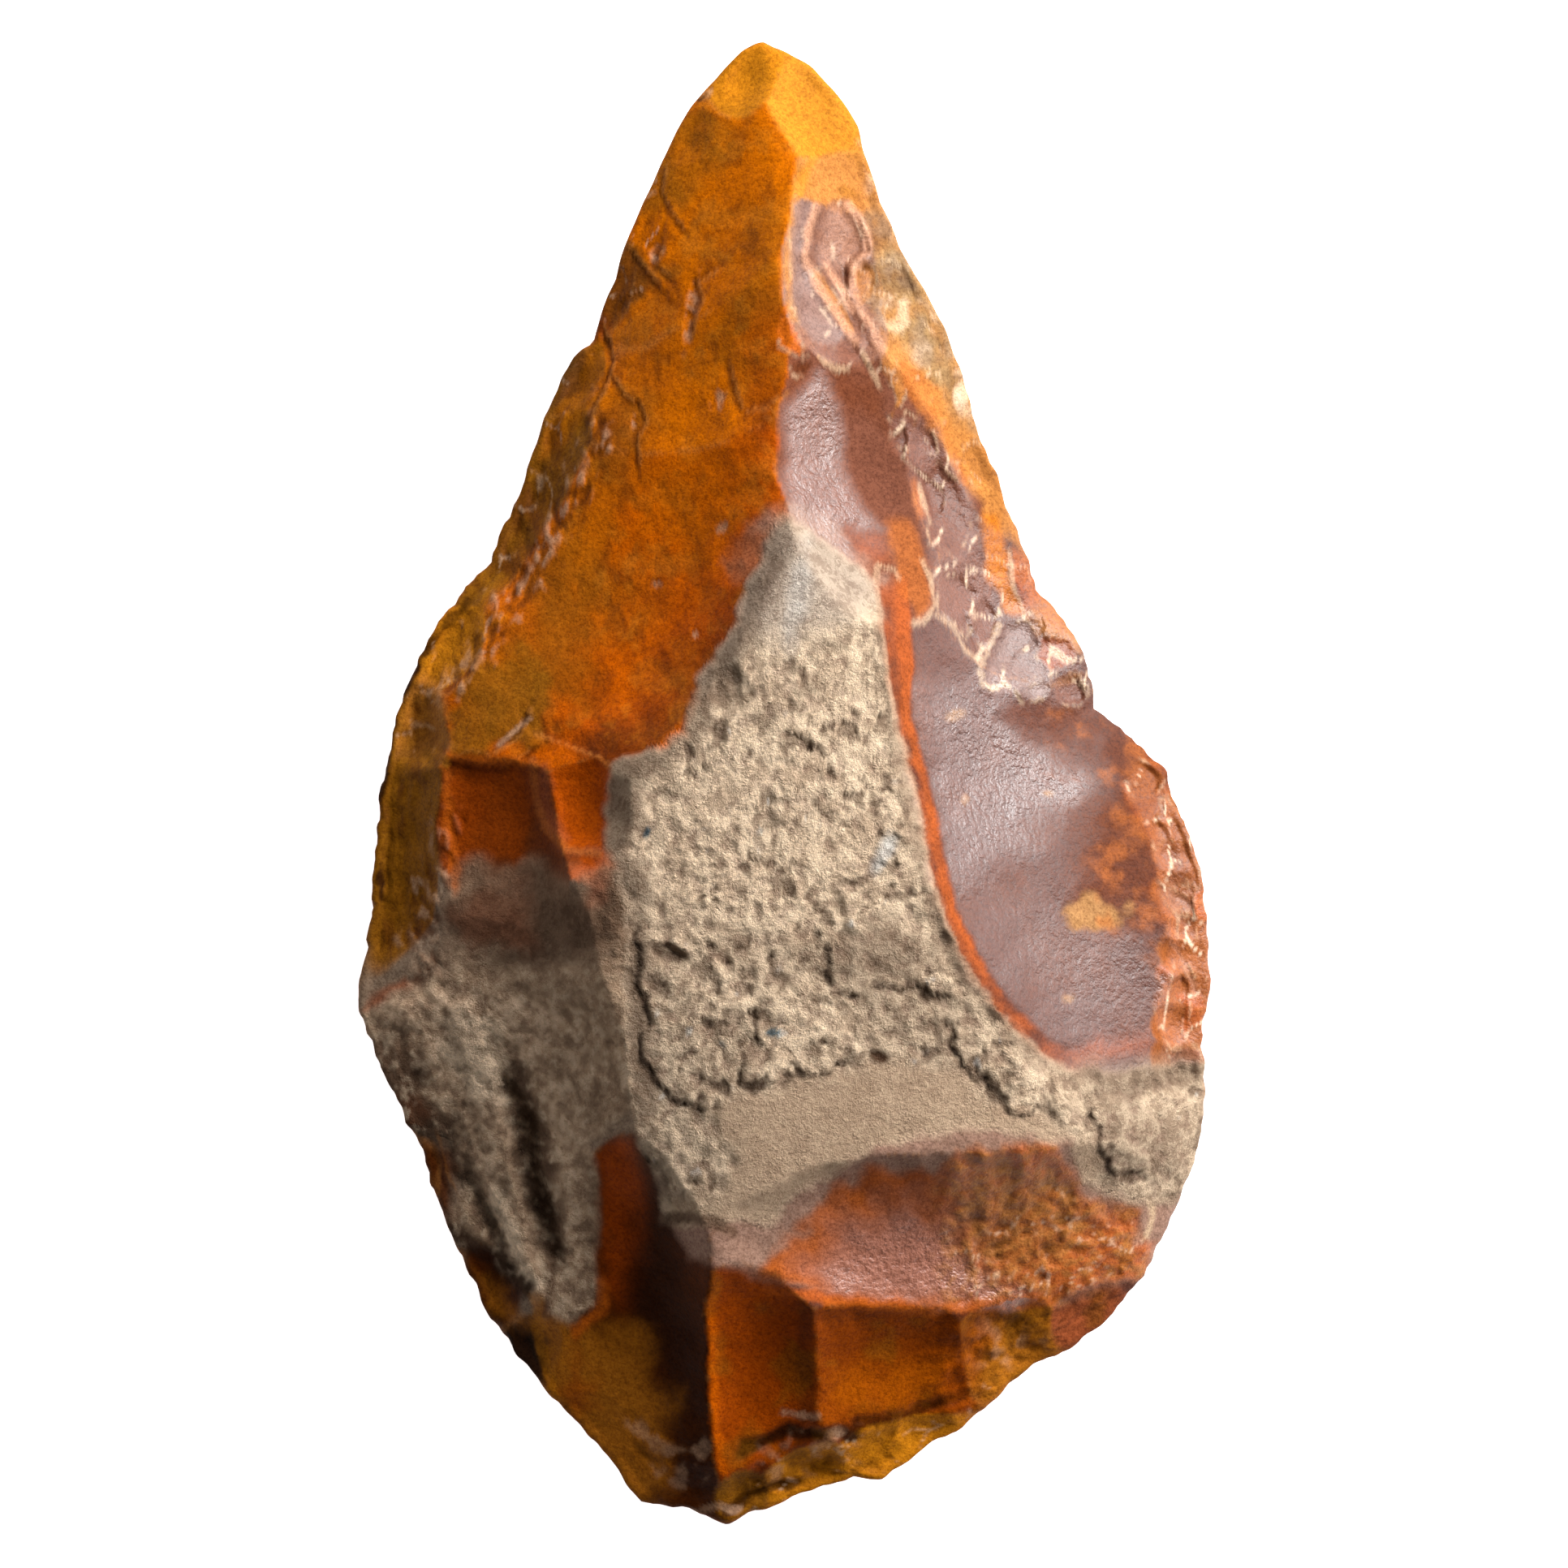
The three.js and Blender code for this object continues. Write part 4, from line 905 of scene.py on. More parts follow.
# Crushed ground along the edges: little scars side by side, hollow, with thin crests between. Each
# stretch has the scars' size and depth, the paleness of the crests, how drawn out they are, and corners.
CRUSHED_GROUND = [
    (1.9, 0.4, 0.75, 0.6, [(24.0, 1.5), (25.6, 0.6), (28.5, -5), (29, -11), (28.6, -19), (25.6, -18.6),
                           (24.9, -14.5), (25.8, -11.5), (25.2, -7.5), (24.5, -3), (22.8, 0)]),
    (2.3, 0.55, 0.6, 0.8, [(6.8, 24.6), (9.8, 24.4), (12.4, 20), (13.8, 14), (17.2, 11.5), (20, 9.8),
                           (20.8, 5.6), (18, 5.4), (13.4, 6), (12.2, 8.6), (10.2, 11), (9.6, 14),
                           (9.0, 18), (8.2, 22)]),
    (2.2, 0.3, 0.3, 0.9, [(0.8, 39), (5.2, 39.4), (6.2, 36), (6.2, 32), (8.2, 26.5), (5.5, 26.5),
                          (1.8, 28.6), (0.4, 31)]),
    (2.0, 0.35, 0.25, 0.8, [(5.0, 44), (8.0, 36.2), (12, 28.8), (15.4, 18), (17, 13.4), (13.6, 14),
                            (12, 20), (9, 27), (6.4, 31)]),
    (2.2, 0.4, 0.2, 0.7, [(-20.6, 12), (-17, 22), (-14.6, 29), (-12.8, 30), (-12.2, 25), (-15, 18),
                          (-19, 11), (-22.4, 6.5), (-22.6, 2), (-26.8, 2), (-26, 5), (-23.8, 10)]),
    (2.2, 0.45, 0.25, 1.2, [(-4, -49.6), (-2, -45.2), (4.8, -43.8), (12, -41.2), (16, -39.6), (8, -45.6),
                            (5, -46.8)]),
    (1.2, 0.3, 0.35, 1.0, [(11, -30), (18, -26.5), (24, -29), (24.6, -32.6), (18, -34.6), (12, -34.6)]),
    (1.8, 0.4, 0.3, 0.6, [(-10.2, 37), (-8.4, 41.5), (-7.6, 38), (-9, 33.4), (-11.4, 30.6), (-13, 31)]),
]
lay(ORANGE_BROWN, 0.5 * inside(CRUSHED_GROUND[0][-1], 0.5, 0.5))
stain([
    (ORANGE_BROWN, 0.6, 0.6, 0.7, [(15.4, 15.8), (16.4, 15.6), (18.2, 12.6), (20.0, 10.0), (18.4, 9.8),
                                   (16.2, 12.0)]),
    (HONEY, 0.5, 0.8, 0.8, [(9.0, 26.4), (11.2, 25.4), (12.4, 21.4), (11.0, 21.6)]),
    (OCHRE, 0.45, 1.0, 0.8, [(-26.2, 5.6), (-24.0, 6.4), (-23.2, 3.2), (-24.6, 2.0), (-26.6, 2.4)]),
])
for number, (size, deep, pale, stretch, corners) in enumerate(CRUSHED_GROUND):
    bent_x, bent_y = x + 0.35 * size * noise(x, y, size, 66), y + 0.35 * size * noise(x, y, size, 67)
    first, second, own = crumbs(bent_x, bent_y * stretch, size, 3 + number)
    ground_here = inside(corners, 0.35, 0.5)
    relief += deep * ground_here * (0.8 * first**2 - 0.9 * own)
    lay(CREAM, pale * ground_here * ramp(0.08, 0.03, second - first)
        * ramp(-0.1, 0.3, rough_noise(x, y, 2.0, 68)))
    lay(BARK, 0.3 * ground_here * ramp(0.55, 1.0, own))
    lay(VIVID, 0.55 * ground_here * ramp(0.25, 0.1, own) * ramp(20, 24, x))

# Pale bruised lines, and the ridges between the lobes of the crescent scar, with a painted highlight on
# each ridge and painted shade beside it.
BRUISES = [
    [(9.2, 14.8), (9.8, 13.4), (10.0, 11.8), (9.4, 10.8), (8.3, 10.6)],
    [(9.0, 20.0), (9.3, 18.8), (9.8, 17.4)], [(6.1, 13.4), (6.2, 14.5), (7.3, 14.2), (7.6, 13.6)],
    [(10.1, 11.2), (11.2, 10.6), (12.1, 8.8), (13.1, 8.2)],
    [(2.3, 28.3), (3.4, 27.5), (4.2, 27.5)], [(5.2, 28.8), (5.8, 27.6), (6.4, 26.4)],
    [(15.2, 15.6), (15.4, 13.4), (16.2, 11.5)], [(13.2, 6.5), (13.0, 7.6), (14.4, 10.6)],
]
for line in BRUISES:
    rims = np.maximum(rims, 0.8 * near(line, 0.25, 0.12))
lay(BUFF, 0.5 * rims)
relief += 0.05 * rims
LOBES = [
    [(2.1, 38.4), (1.6, 36.8), (1.4, 35.0), (2.4, 33.0), (3.8, 31.0), (4.8, 29.4)],
    [(4.4, 38.8), (5.5, 37.0), (5.7, 35.6), (4.8, 34.6)],
    [(4.6, 34.6), (4.7, 32.8), (5.4, 31.2), (6.6, 29.0)],
    [(2.8, 34.6), (3.8, 33.2), (4.6, 31.6)],
]
for line in LOBES:
    relief += 0.3 * near(line, 0.75, 0.1)
    # A painted highlight along the ridge, and painted shade in a line beside it.
    lay(PEACH_HIGHLIGHT, 0.6 * near(line, 0.4, 0.15))
    lay(BARK, 0.3 * near([(px + 0.55, py + 0.3) for px, py in line], 0.5, 0.15))

# The arrises between the scars are a little paler.
lay(HONEY, 0.28 * arris * ramp(-0.3, 0.3, rough_noise(x, y, 2.4, 64)) * (1 - flank))

# The chalky crust: crumbly in the middle and at the right, smooth on top, down the left shoulder
# and below, with plates of an outer layer that stand a little higher.
CRUST = [
    (0.2, 17.5), (2.5, 16.2), (4.6, 14.6), (6.0, 13.4), (6.2, 11), (6.5, 8), (7.2, 4.5), (8.2, 0.5),
    (9, -3), (9.8, -6.8), (10.8, -10), (12.3, -13), (14.2, -15.4), (16.8, -17.8), (19.2, -19.2),
    (28.6, -18.9), (28.4, -24), (27.4, -27.5), (24.6, -28.2), (20, -26.5), (19, -23.4), (12, -22.6),
    (6, -23.6), (3, -25.6), (-1, -28.8), (-7.9, -28.9), (-7.8, -27), (-8.6, -25), (-10.0, -22),
    (-10.4, -16), (-10.4, -8), (-11.2, -4.6), (-11.9, -2), (-11.2, 1.2), (-8.6, 2.4), (-6.4, 3.2),
    (-5.8, 6), (-4.6, 8.2), (-3.2, 10.5), (-2.2, 13), (-1.2, 15.5),
]
SMOOTH_TOP = [(-2.5, 17), (3, 17), (7, 13.5), (6, 12), (4, 10.5), (0.5, 9.5), (-2.5, 9.8), (-5.5, 6.5),
              (-7, 8)]
SMOOTH_LOW = [
    (-5, -21.5), (-3, -20.3), (2, -19.5), (6, -18.2), (11, -18.6), (14, -21.3), (17, -21.9), (20.5, -24),
    (21, -27), (26, -28.5), (20, -30), (-8, -31), (-7, -27.5), (-4, -27), (-3, -24.5),
]
MARGIN = [(-1.2, 15.5), (-2.8, 11.5), (-4.4, 8.4), (-6.0, 5.2), (-8.4, 2.4), (-11.2, 1.2), (-11.4, -4.4),
          (-10.3, -8), (-10.2, -21)]
PLATES = [
    [
        (-9.3, -9.6), (-6.5, -10.3), (-6.2, -11.5), (-4.2, -11.6), (-3.4, -13.4), (-2.0, -14.4),
        (-3.2, -15.6), (-4.3, -17), (-4.8, -19), (-5.0, -21.3), (-7.5, -20.6), (-8.4, -19.2), (-9.3, -18),
        (-9.2, -16.5), (-8.5, -15.8), (-9.1, -14), (-9.5, -12.5),
    ],
    [
        (-1.9, -14.6), (-0.4, -13.6), (1.4, -12.6), (3, -13.2), (4.8, -14.3), (3.2, -15.2), (4.9, -16.6),
        (4.8, -18.2), (2, -18.8), (0.2, -19.2), (-1.2, -20.0), (-2.7, -19.4), (-2.8, -18), (-1.5, -17),
        (-1.6, -15.8),
    ],
    [
        (3, -12.8), (2.9, -10.5), (4.5, -8.6), (6.5, -10.2), (9.8, -9.2), (10.6, -11.5), (11.4, -13.8),
        (8, -13.3), (5.8, -13.1), (5, -14), (3.6, -13.8),
    ],
    [(11.3, -16.4), (12.2, -15.4), (14, -15.6), (14.8, -17.3), (16, -18.2), (17.5, -19.4), (17, -21.4),
     (15, -21.7), (13.5, -19.6), (11.8, -18.3)],
    [(20.6, -21.2), (22.5, -20.6), (24.4, -21.2), (25.4, -23.2), (24.2, -25.6), (22.5, -25.9), (21, -24.2)],
]
PLATE_BORDER = (0.12, 0.45, 1.3)
SHADOW_SHIFT = (0.36, 0.26)  # how far the gap beside a plate reaches, away from the light
chalk = inside(CRUST, 0.45, 0.4)
lay(CREAM, chalk)
lay(GREY, 0.35 * near([(-2.4, 14.5), (-1.2, 16.2), (0.2, 17.2)], 2.0, 0.6))
haze = near([(-1.5, 16.5), (0.2, 17.4), (2.6, 16.3), (4.8, 14.6), (6.2, 13.2)], 1.5, 0.5)
lay(DUSK, 0.55 * haze * ramp(-0.6, 0.2, rough_noise(x, y, 2.5, 114)))
stain([
    (GREY, 0.3, 1.0, 1.0, [(-9.8, -10), (-7.5, -9), (-6.0, -14), (-3.4, -15.4), (-3.6, -20), (-6, -22.6),
                           (-9.4, -18)]),
    (GREY, 0.25, 1.0, 1.0, [(2.4, -9), (8.6, -8.4), (9.4, -12), (13.4, -16.6), (15, -20), (10, -19),
                            (8, -16.2), (2.6, -13)]),
    (GREY, 0.5, 0.8, 0.8, [(20.6, -20.6), (23, -20.8), (27, -23), (26, -26.6), (20.8, -26.6)]),
], chalk)
smooth_top, smooth_low = inside(SMOOTH_TOP, 1.6, 0.5), inside(SMOOTH_LOW, 0.7, 0.7)
margin = near(MARGIN, 2.4, 0.9, 3)
crumbly = chalk * (1 - smooth_top) * (1 - smooth_low) * (1 - 0.7 * margin)
grain = crumbs(x, y, 0.75, 1)[0]
holes = ramp(0.22, 0.34, rough_noise(x, y, 1.3, 12, 5, 0.8)) * ramp(-0.4, 0.3, rough_noise(x, y, 5, 13))
relief -= (crumbly + 0.7 * flank) * 0.18 * grain**2 + 0.3 * crumbly * holes
relief -= crumbly * 0.2 * ramp(-0.3, 0.6, rough_noise(x, y, 3.5, 10, 5, 0.6))
lay(EARTH_GREY, 0.4 * chalk * smooth_low)
crumb_grain = rough_noise(x, y, 0.95, 109, 3, 0.85)
relief += crumbly * (0.2 * crumb_grain - 0.1)
lay(DUSK, 0.5 * crumbly * ramp(-0.1, -0.55, crumb_grain))
plate = np.clip(sum(inside(corners, *PLATE_BORDER) for corners in PLATES), 0, 1)
# The gap beside each plate on the side away from the light, cut a little lower and given a painted shadow.
shaded_gap = np.clip(sum(inside(corners, *PLATE_BORDER, *SHADOW_SHIFT) for corners in PLATES), 0, 1) * (1 - plate)
relief -= chalk * ramp(-6, -11, y + 2.5 * rough_noise(x, y, 6, 110)) * (0.3 * (1 - plate) + 0.22 * shaded_gap)

# Hollows where bits of the crust have come out, and then its tones, with a painted shadow beside each plate
# and a painted highlight on the smooth top.
HOLLOWS = [
    (-3.7, 6.0, 75, 1.5, 0.9, 0.7), (-2.5, 5.6, 60, 0.9, 0.4, 0.5), (-7.4, -11.2, -20, 1.5, 0.5, 0.6),
    (6.3, -17.9, -10, 0.7, 0.5, 0.25), (3.6, -8, 110, 1.3, 0.5, 0.5), (2.8, 8.9, 10, 1.0, 0.45, 0.35),
    (-4.2, 3.8, 60, 0.8, 0.45, 0.4), (1.5, 2.5, 0, 0.4, 0.4, 0.3), (5.8, -1.4, 90, 0.8, 0.3, 0.35),
]
for hx, hy, turn, long, broad, deep in HOLLOWS:
    hollow = patch(hx, hy, turn, long, broad, 0.35, 0.5)
    relief -= deep * hollow
    lay(MUD_AND_SHADE, 0.45 * hollow)
lay(DRIFT, chalk * smooth_top)
lay(STONE, 0.8 * chalk * smooth_low)
lay(DUST, 0.75 * chalk * margin)
lay(DUST, 0.7 * crumbly * holes)
# Painted shadow in the gap beside each plate, on the side away from the light.
lay(PLATE_SHADOW, 0.75 * chalk * shaded_gap)
lay(DUST, 0.25 * chalk * (1 - plate) * ramp(-9, -11, y) * (1 - smooth_low))
lay(DUST, 0.55 * crumbly * patch(6.5, -11.5, 0, 3.4, 1.9, 0.6, 0.7))
lay(DUST, 0.5 * chalk * near([(7.6, 3.0), (8.6, -2.0), (9.4, -6.5), (10.6, -10.5)], 1.0, 0.5))
lay(WHITE, 0.8 * chalk * patch(6.4, -4.8, 60, 1.3, 0.5, 0.5, 0.6))
# A painted highlight along the smooth top of the crust, beside the spine.
lay(WHITE, 0.45 * chalk * patch(1.0, 13.0, 80, 3.0, 0.8, 0.6, 0.6))
dapple(crumbly, [(WHITE, 0.6, 0.8, 1.0, 1.2, 28)])
lay(MUD_AND_SHADE, chalk * patch(6.3, -17.9, -10, 0.7, 0.45, 0.3))
lay(TEAL, 0.8 * patch(-9.0, -3.2, 70, 0.35, 0.22, 0.4))
lay(TEAL, 0.8 * patch(-0.7, -16.3, 0, 0.5, 0.25, 0.4))
lay(GREY, 0.6 * inside([(19.0, -18.6), (26.0, -18.2), (28.6, -18.8), (28.4, -20.2), (20.6, -20.6)],
                       0.8, 0.5))
lay(MUD_AND_SHADE, 0.8 * near([(-8.0, -28.8), (-4.6, -28.6), (-3.4, -29.4)], 0.5, 0.3))

# Along the crust's right border runs a pale lip with an orange band inside it.
RIGHT_LIP = [
    (6.2, 13.4), (6.3, 10.0), (6.7, 7.0), (7.4, 3.8), (8.3, 0.4), (9.0, -2.8), (9.8, -6.8), (10.9, -10.0),
    (12.4, -12.9), (14.3, -15.4), (16.8, -17.8), (19.2, -19.3),
]
gap, side = gap_to(RIGHT_LIP)
across_lip = gap * side + 0.18 * rough_noise(x, y, 2.0, 61)
band = ramp(14.2, 12.6, y) * ramp(20.5, 16, x)
broad = 1.0 + 0.9 * ramp(4, 9, y)
lay(PUTTY, 0.45 * band * ramp(-1.2, -0.6, across_lip) * ramp(0.2, 0.0, across_lip) * ramp(10, 7, y))
lay(FAWN, 0.5 * band * ramp(-0.2, 0.0, across_lip) * ramp(0.3, 0.15, across_lip))
lay(BRICK, 0.85 * band * ramp(-0.6, 0.2, rough_noise(x, y, 1.6, 107)) * ramp(0.1, 0.35, across_lip)
    * ramp(broad + 0.4, broad, across_lip))
lay(VIVID, 0.4 * band * ramp(0.4 * broad, 0.7 * broad, across_lip)
    * ramp(broad + 0.25, broad, across_lip) * ramp(-17, -9, y))
lipped = band * ramp(-0.2, 0.2, across_lip) * ramp(broad + 0.5, broad, across_lip)
relief += 0.10 * band * ramp(-0.5, -0.1, -np.abs(across_lip))

# Small nicks struck in along the left edge and the butt.
NICKS = scar_row("nick", 76, 200, 26, 2.6, 1.9, 0, OLIVE)
NICKS |= scar_row("chip", 205, 300, 16, 2.8, 2.2, 0, OLIVE)
for nick in NICKS.values():
    relief -= 0.5 * np.clip(1 - oval(nick, x, y), 0, 1)
relief += (1 - chalk) * (0.07 * rough_noise(x, y, 2.8, 30) + 0.02 * noise(x, y, 0.7, 34))
calm_edge = ramp(0.1, 1.0, depth)
face_height = FACE_RISE * share + MILLIMETRE * relief * calm_edge + edge_wave(x, y)

# Where the patina shines: the brown scars of the right, most where they turn to the light.
crusty_face = np.clip(chalk * (1 - 0.5 * smooth_low * (1 - plate)) + 0.8 * flank, 0, 1)
shine = 0.36 * right + 0.12 * (shows["right_inner"] + shows["crescent"]) + 0.3 * shows["right_cluster"]
shine += 0.95 * right * inside([(9.6, 5), (13, 6), (16.5, 3.5), (18, 0), (15, -4), (11.2, -5), (9.8, 0)],
                               3.0, 1.2, 3)
shine += 0.6 * right * inside([(17.5, 3.4), (21.5, 3.0), (22.0, 0.4), (19.0, -1.0)], 1.4, 1.0, 2)
shine += 0.3 * right * inside([(13, -8), (19, -9), (25, -11), (25, -17), (18, -17)], 3.0, 1.0, 3)
shine -= 0.2 * right * ramp(16, 22, x) * ramp(-10, -5, y)
shine += 1.3 * upper * inside([(0.6, 25), (2.4, 27), (3.8, 25), (3.4, 20.5), (7, 15.5), (3.5, 13.5),
                               (0.6, 16), (0.2, 20)], 0.9, 0.4, 3)
shine += 0.7 * dish * corner + 0.2 * crumple
shine += 0.25 * inside(CRUSHED_GROUND[1][-1], 0.5, 0.4) + 0.4 * inside(CRUSHED_GROUND[0][-1], 0.3, 0.3)
ember = inside([(3.4, 17), (6.6, 17.2), (9.2, 17), (10, 12), (8, 10.8), (6, 13.6), (4.2, 14.4)], 0.7, 0.6)
shine += 0.25 * shows["crescent"] * ramp(-0.2, 0.4, rough_noise(x, y, 2.2, 116))
shine = shine * (1 - lipped) * (1 - chalk) * (1 - fleck)
gloss = np.clip(shine * (1 - 0.85 * ember) * (1 - 0.7 * rusted), 0, 1)

# The back: the same dome and scars, turned down, with the flat spot that it rests on.
BACK_GLOSS = 0.2
back_points, back_triangles, back_rim = sheet(BACK_RIM, BACK_RINGS, True)
bx, by = back_points.T
back_depth = inset(bx, by)
back_depth[:back_rim] = 0
back_share, back_shows, _ = carve(bx, by, back_depth, BACK_SCARS)
back_height = np.maximum(-BACK_RISE * back_share + edge_wave(bx, by), -BACK_RISE + FLAT_DEPTH)
back_colour = sum(back_shows[name][:, None] * s["tint"] for name, s in BACK_SCARS.items())
back_colour = back_colour + back_shows["crust"][:, None] * CREAM

ground = BACK_RISE - FLAT_DEPTH  # the edge's height above the floor
centre_x, centre_y = (low[0] + high[0]) / 2, (low[1] + high[1]) / 2
vertices = np.vstack([
    np.c_[nibble(face_points, depth) * (ACROSS, ALONG) + (centre_x, centre_y), face_height + ground],
    np.c_[nibble(back_points, back_depth) * (ACROSS, ALONG) + (centre_x, centre_y), back_height + ground],
])
back_start = len(face_points)
seam = stitch(face_rim, back_rim, 0, back_start, True)
triangles = np.vstack([face_triangles, back_triangles + back_start, np.array(seam)])

stone_mesh = bpy.data.meshes.new("hand_axe_stone")
stone_mesh.from_pydata(vertices.tolist(), [], triangles.tolist())
stone_mesh.shade_smooth()


def give(name, values):
    if values.ndim == 2:
        layer = stone_mesh.attributes.new(name, "FLOAT_COLOR", "POINT")
        layer.data.foreach_set("color", np.c_[values, np.ones(len(values))].astype(np.float32).ravel())
    else:
        layer = stone_mesh.attributes.new(name, "FLOAT", "POINT")
        layer.data.foreach_set("value", values.astype(np.float32))


give("patina", np.vstack([colour, back_colour]))
give("crust", np.r_[crusty_face, back_shows["crust"]])
give("gloss", np.r_[gloss, np.full(len(bx), BACK_GLOSS)])
stone = bpy.data.objects.new("stone", stone_mesh)
bpy.context.collection.objects.link(stone)

# Flint with its patina, gloss and crust.
flint = bpy.data.materials.new("flint")
flint.use_nodes = True
nodes, links = flint.node_tree.nodes, flint.node_tree.links
nodes.clear()


def node(kind, sources=None, **settings):
    made = nodes.new("ShaderNode" + kind)
    for name, value in settings.items():
        setattr(made, name, value)
    for name, source in (sources or {}).items():
        if isinstance(source, bpy.types.NodeSocket):
            links.new(source, made.inputs[name])
        else:
            made.inputs[name].default_value = source
    return made


def between(value, low_end, high_end, out_low=0.0, out_high=1.0):
    """A share of a texture, stretched from one range to another."""
    ends = {"From Min": low_end, "From Max": high_end, "To Min": out_low, "To Max": out_high}
    return node("MapRange", {"Value": value, **ends}).outputs["Result"]


def times(a, b):
    return node("Math", {0: a, 1: b}, operation="MULTIPLY").outputs[0]


def plus(a, b):
    return node("Math", {0: a, 1: b}, operation="ADD").outputs[0]


def darken(share, under, over):
    """A colour multiplied by another, by a share."""
    made = node("Mix", data_type="RGBA", blend_type="MULTIPLY")
    for socket, source in ((0, share), (6, under), (7, over)):
        if isinstance(source, bpy.types.NodeSocket):
            links.new(source, made.inputs[socket])
        else:
            made.inputs[socket].default_value = source
    return made.outputs[2]


place = node("TexCoord").outputs["Object"]


def mottle(per_metre, detail, harshness):
    sources = {"Vector": place, "Scale": per_metre, "Detail": detail, "Roughness": harshness}
    return node("TexNoise", sources).outputs["Fac"]


patina = node("Attribute", attribute_name="patina").outputs["Color"]
crusty = node("Attribute", attribute_name="crust").outputs["Fac"]
glossy = node("Attribute", attribute_name="gloss").outputs["Fac"]
clean = node("Math", {0: 1.0, 1: crusty}, operation="SUBTRACT").outputs[0]


def cracks(per_metre, bend):
    """Height over a packing of grains: 0 in the cracks between them."""
    jitter = node("TexNoise", {"Vector": place, "Scale": 1.3 * per_metre, "Detail": 3.0})
    shift = node("VectorMath", {0: jitter.outputs["Color"], "Scale": bend}, operation="SCALE").outputs[0]
    moved = node("VectorMath", {0: place, 1: shift}, operation="ADD").outputs[0]
    grains = node("TexVoronoi", {"Vector": moved, "Scale": per_metre}, feature="DISTANCE_TO_EDGE")
    return between(grains.outputs["Distance"], 0.0, 0.25)


# Colour: clouds, films and specks over the patina, then cracks and crannies in the crust.
cloud = between(mottle(260, 5, 0.65), 0.3, 0.7)
fine = mottle(1700, 4, 0.7)
stained = darken(times(cloud, times(plus(clean, 0.3), 0.3)), patina, (0.6, 0.55, 0.5, 1))
peel = darken(times(between(fine, 0.58, 0.4), times(clean, 0.45)), stained, (0.5, 0.42, 0.38, 1))
dots = times(between(mottle(3600, 3, 0.7), 0.5, 0.40), times(clean, 0.5))
dotted = darken(dots, peel, (0.45, 0.38, 0.4, 1))
flecks = times(between(mottle(900, 3, 0.6), 0.66, 0.74), clean)
flecked = darken(times(flecks, 0.5), dotted, (0.25, 0.2, 0.2, 1))
crumb = times(cracks(900, 0.0012), cracks(2000, 0.0006))
patchy = between(mottle(330, 4, 0.65), 0.42, 0.56)
crack = times(times(node("Math", {0: 1.0, 1: crumb}, operation="SUBTRACT").outputs[0], patchy), crusty)
cracked = darken(times(crack, 0.25), flecked, (0.42, 0.36, 0.33, 1))
sand = mottle(1500, 6, 0.8)
crannies = times(between(plus(sand, times(mottle(420, 3, 0.6), 0.7)), 0.87, 0.79), crusty)
dusted = darken(times(crannies, 0.55), cracked, (0.46, 0.39, 0.36, 1))

# Sheen: waxy where the patina is glossy, dull on the crust.
mirror = between(glossy, 0, 1, 0.02, 1.0)
finish = node("BsdfPrincipled", {"Base Color": dusted, "Specular IOR Level": mirror})
waxy = plus(between(glossy, 0, 1, 0.5, 0.38), between(fine, 0.3, 0.7, -0.06, 0.1))
links.new(node("Mix", {0: crusty, 2: waxy, 3: 0.95}).outputs[0], finish.inputs["Roughness"])

# Grain: heights in millimetres, of the crust, of the patina and of the dimples in the gloss.
rough = plus(times(mottle(900, 5, 0.7), 0.8), plus(times(sand, 0.8), times(times(crumb, patchy), 0.2)))
smaller = plus(times(mottle(500, 3, 0.5), 0.12), times(mottle(3600, 3, 0.6), 0.05))
skin = plus(times(mottle(1300, 4, 0.6), 0.10), smaller)
dimple = times(glossy, plus(times(mottle(500, 2, 0.5), 0.12), times(mottle(1700, 2, 0.6), 0.26)))
grit = plus(dimple, plus(times(rough, crusty), times(skin, clean)))
bump = node("Bump", {"Height": grit, "Distance": MILLIMETRE, "Strength": 1.0})
links.new(bump.outputs["Normal"], finish.inputs["Normal"])
node("OutputMaterial", {"Surface": finish.outputs["BSDF"]})
stone_mesh.materials.append(flint)

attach(stone, "root")
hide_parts("hand_axe")

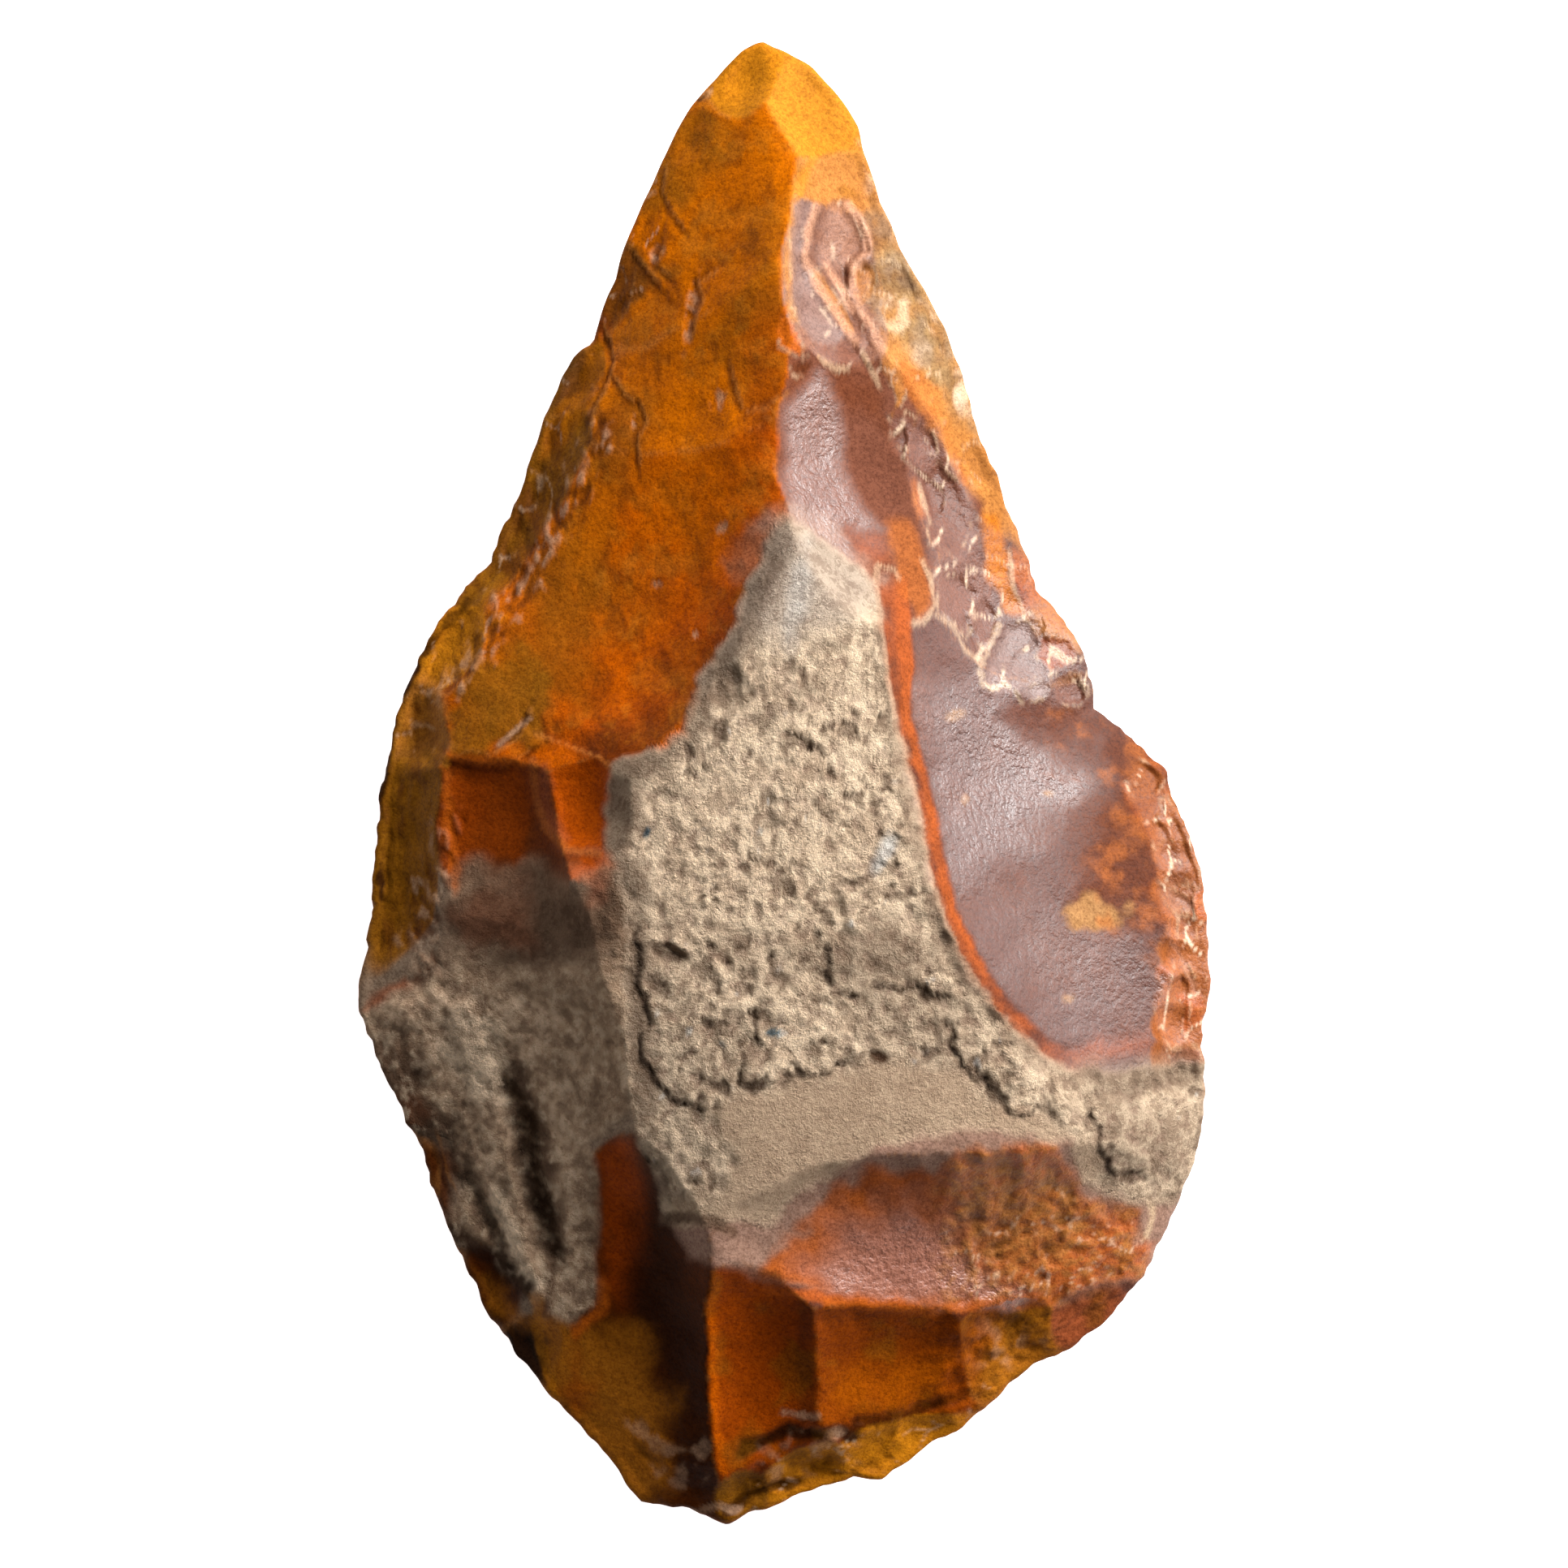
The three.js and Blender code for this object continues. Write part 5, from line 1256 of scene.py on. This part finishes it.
# The setting: a plain white floor, a large soft lamp from the upper right, a low one from the right,
# a weak one from the left and a little light from all round. The camera looks straight down.
FLOOR_CORNERS = [(-3.0, -3.0, 0), (3.0, -3.0, 0), (3.0, 3.0, 0), (-3.0, 3.0, 0)]
floor_mesh = bpy.data.meshes.new("floor")
floor_mesh.from_pydata(FLOOR_CORNERS, [], [(0, 1, 2, 3)])
floor = bpy.data.objects.new("floor", floor_mesh)
bpy.context.collection.objects.link(floor)
paper = bpy.data.materials.new("white_paper")
paper.use_nodes = True
sheen = paper.node_tree.nodes["Principled BSDF"]
sheen.inputs["Base Color"].default_value = (0.8, 0.8, 0.8, 1)
sheen.inputs["Roughness"].default_value = 0.9
sheen.inputs["Emission Color"].default_value = (1, 1, 1, 1)
sheen.inputs["Emission Strength"].default_value = 1.0
floor_mesh.materials.append(paper)


def softbox(name, bearing_deg, height_deg, far, size, power):
    """A square lamp at a bearing from +X and an angle above the floor, aimed at the stone."""
    a, e = math.radians(bearing_deg), math.radians(height_deg)
    lamp = bpy.data.lights.new(name, "AREA")
    lamp.shape, lamp.size, lamp.energy = "SQUARE", size, power
    lamp_object = bpy.data.objects.new(name, lamp)
    lamp_object.location = (far * math.cos(a) * math.cos(e), far * math.sin(a) * math.cos(e),
                            far * math.sin(e))
    lamp_object.rotation_euler = (math.pi / 2 - e, 0, a + math.pi / 2)
    bpy.context.collection.objects.link(lamp_object)


softbox("key", 48, 38, 0.75, 0.45, 13.2)
softbox("side", 18, 16, 0.8, 0.3, 2.6)
softbox("fill", 160, 60, 0.9, 0.5, 0.5)
world = bpy.data.worlds.new("room")
world.use_nodes = True
world.node_tree.nodes["Background"].inputs["Color"].default_value = (1, 1, 1, 1)
world.node_tree.nodes["Background"].inputs["Strength"].default_value = 0.03
bpy.context.scene.world = world
bpy.context.scene.view_settings.view_transform = "Standard"

LENS, SENSOR = 180, 36
FRAME_WIDTH = 105.3 * ALONG  # what the picture's width takes in, at the height of the edge
camera_data = bpy.data.cameras.new("camera")
camera_data.lens, camera_data.sensor_width = LENS, SENSOR
camera = bpy.data.objects.new("camera", camera_data)
camera.location = (centre_x, centre_y, ground + FRAME_WIDTH * LENS / SENSOR)
bpy.context.collection.objects.link(camera)
bpy.context.scene.camera = camera
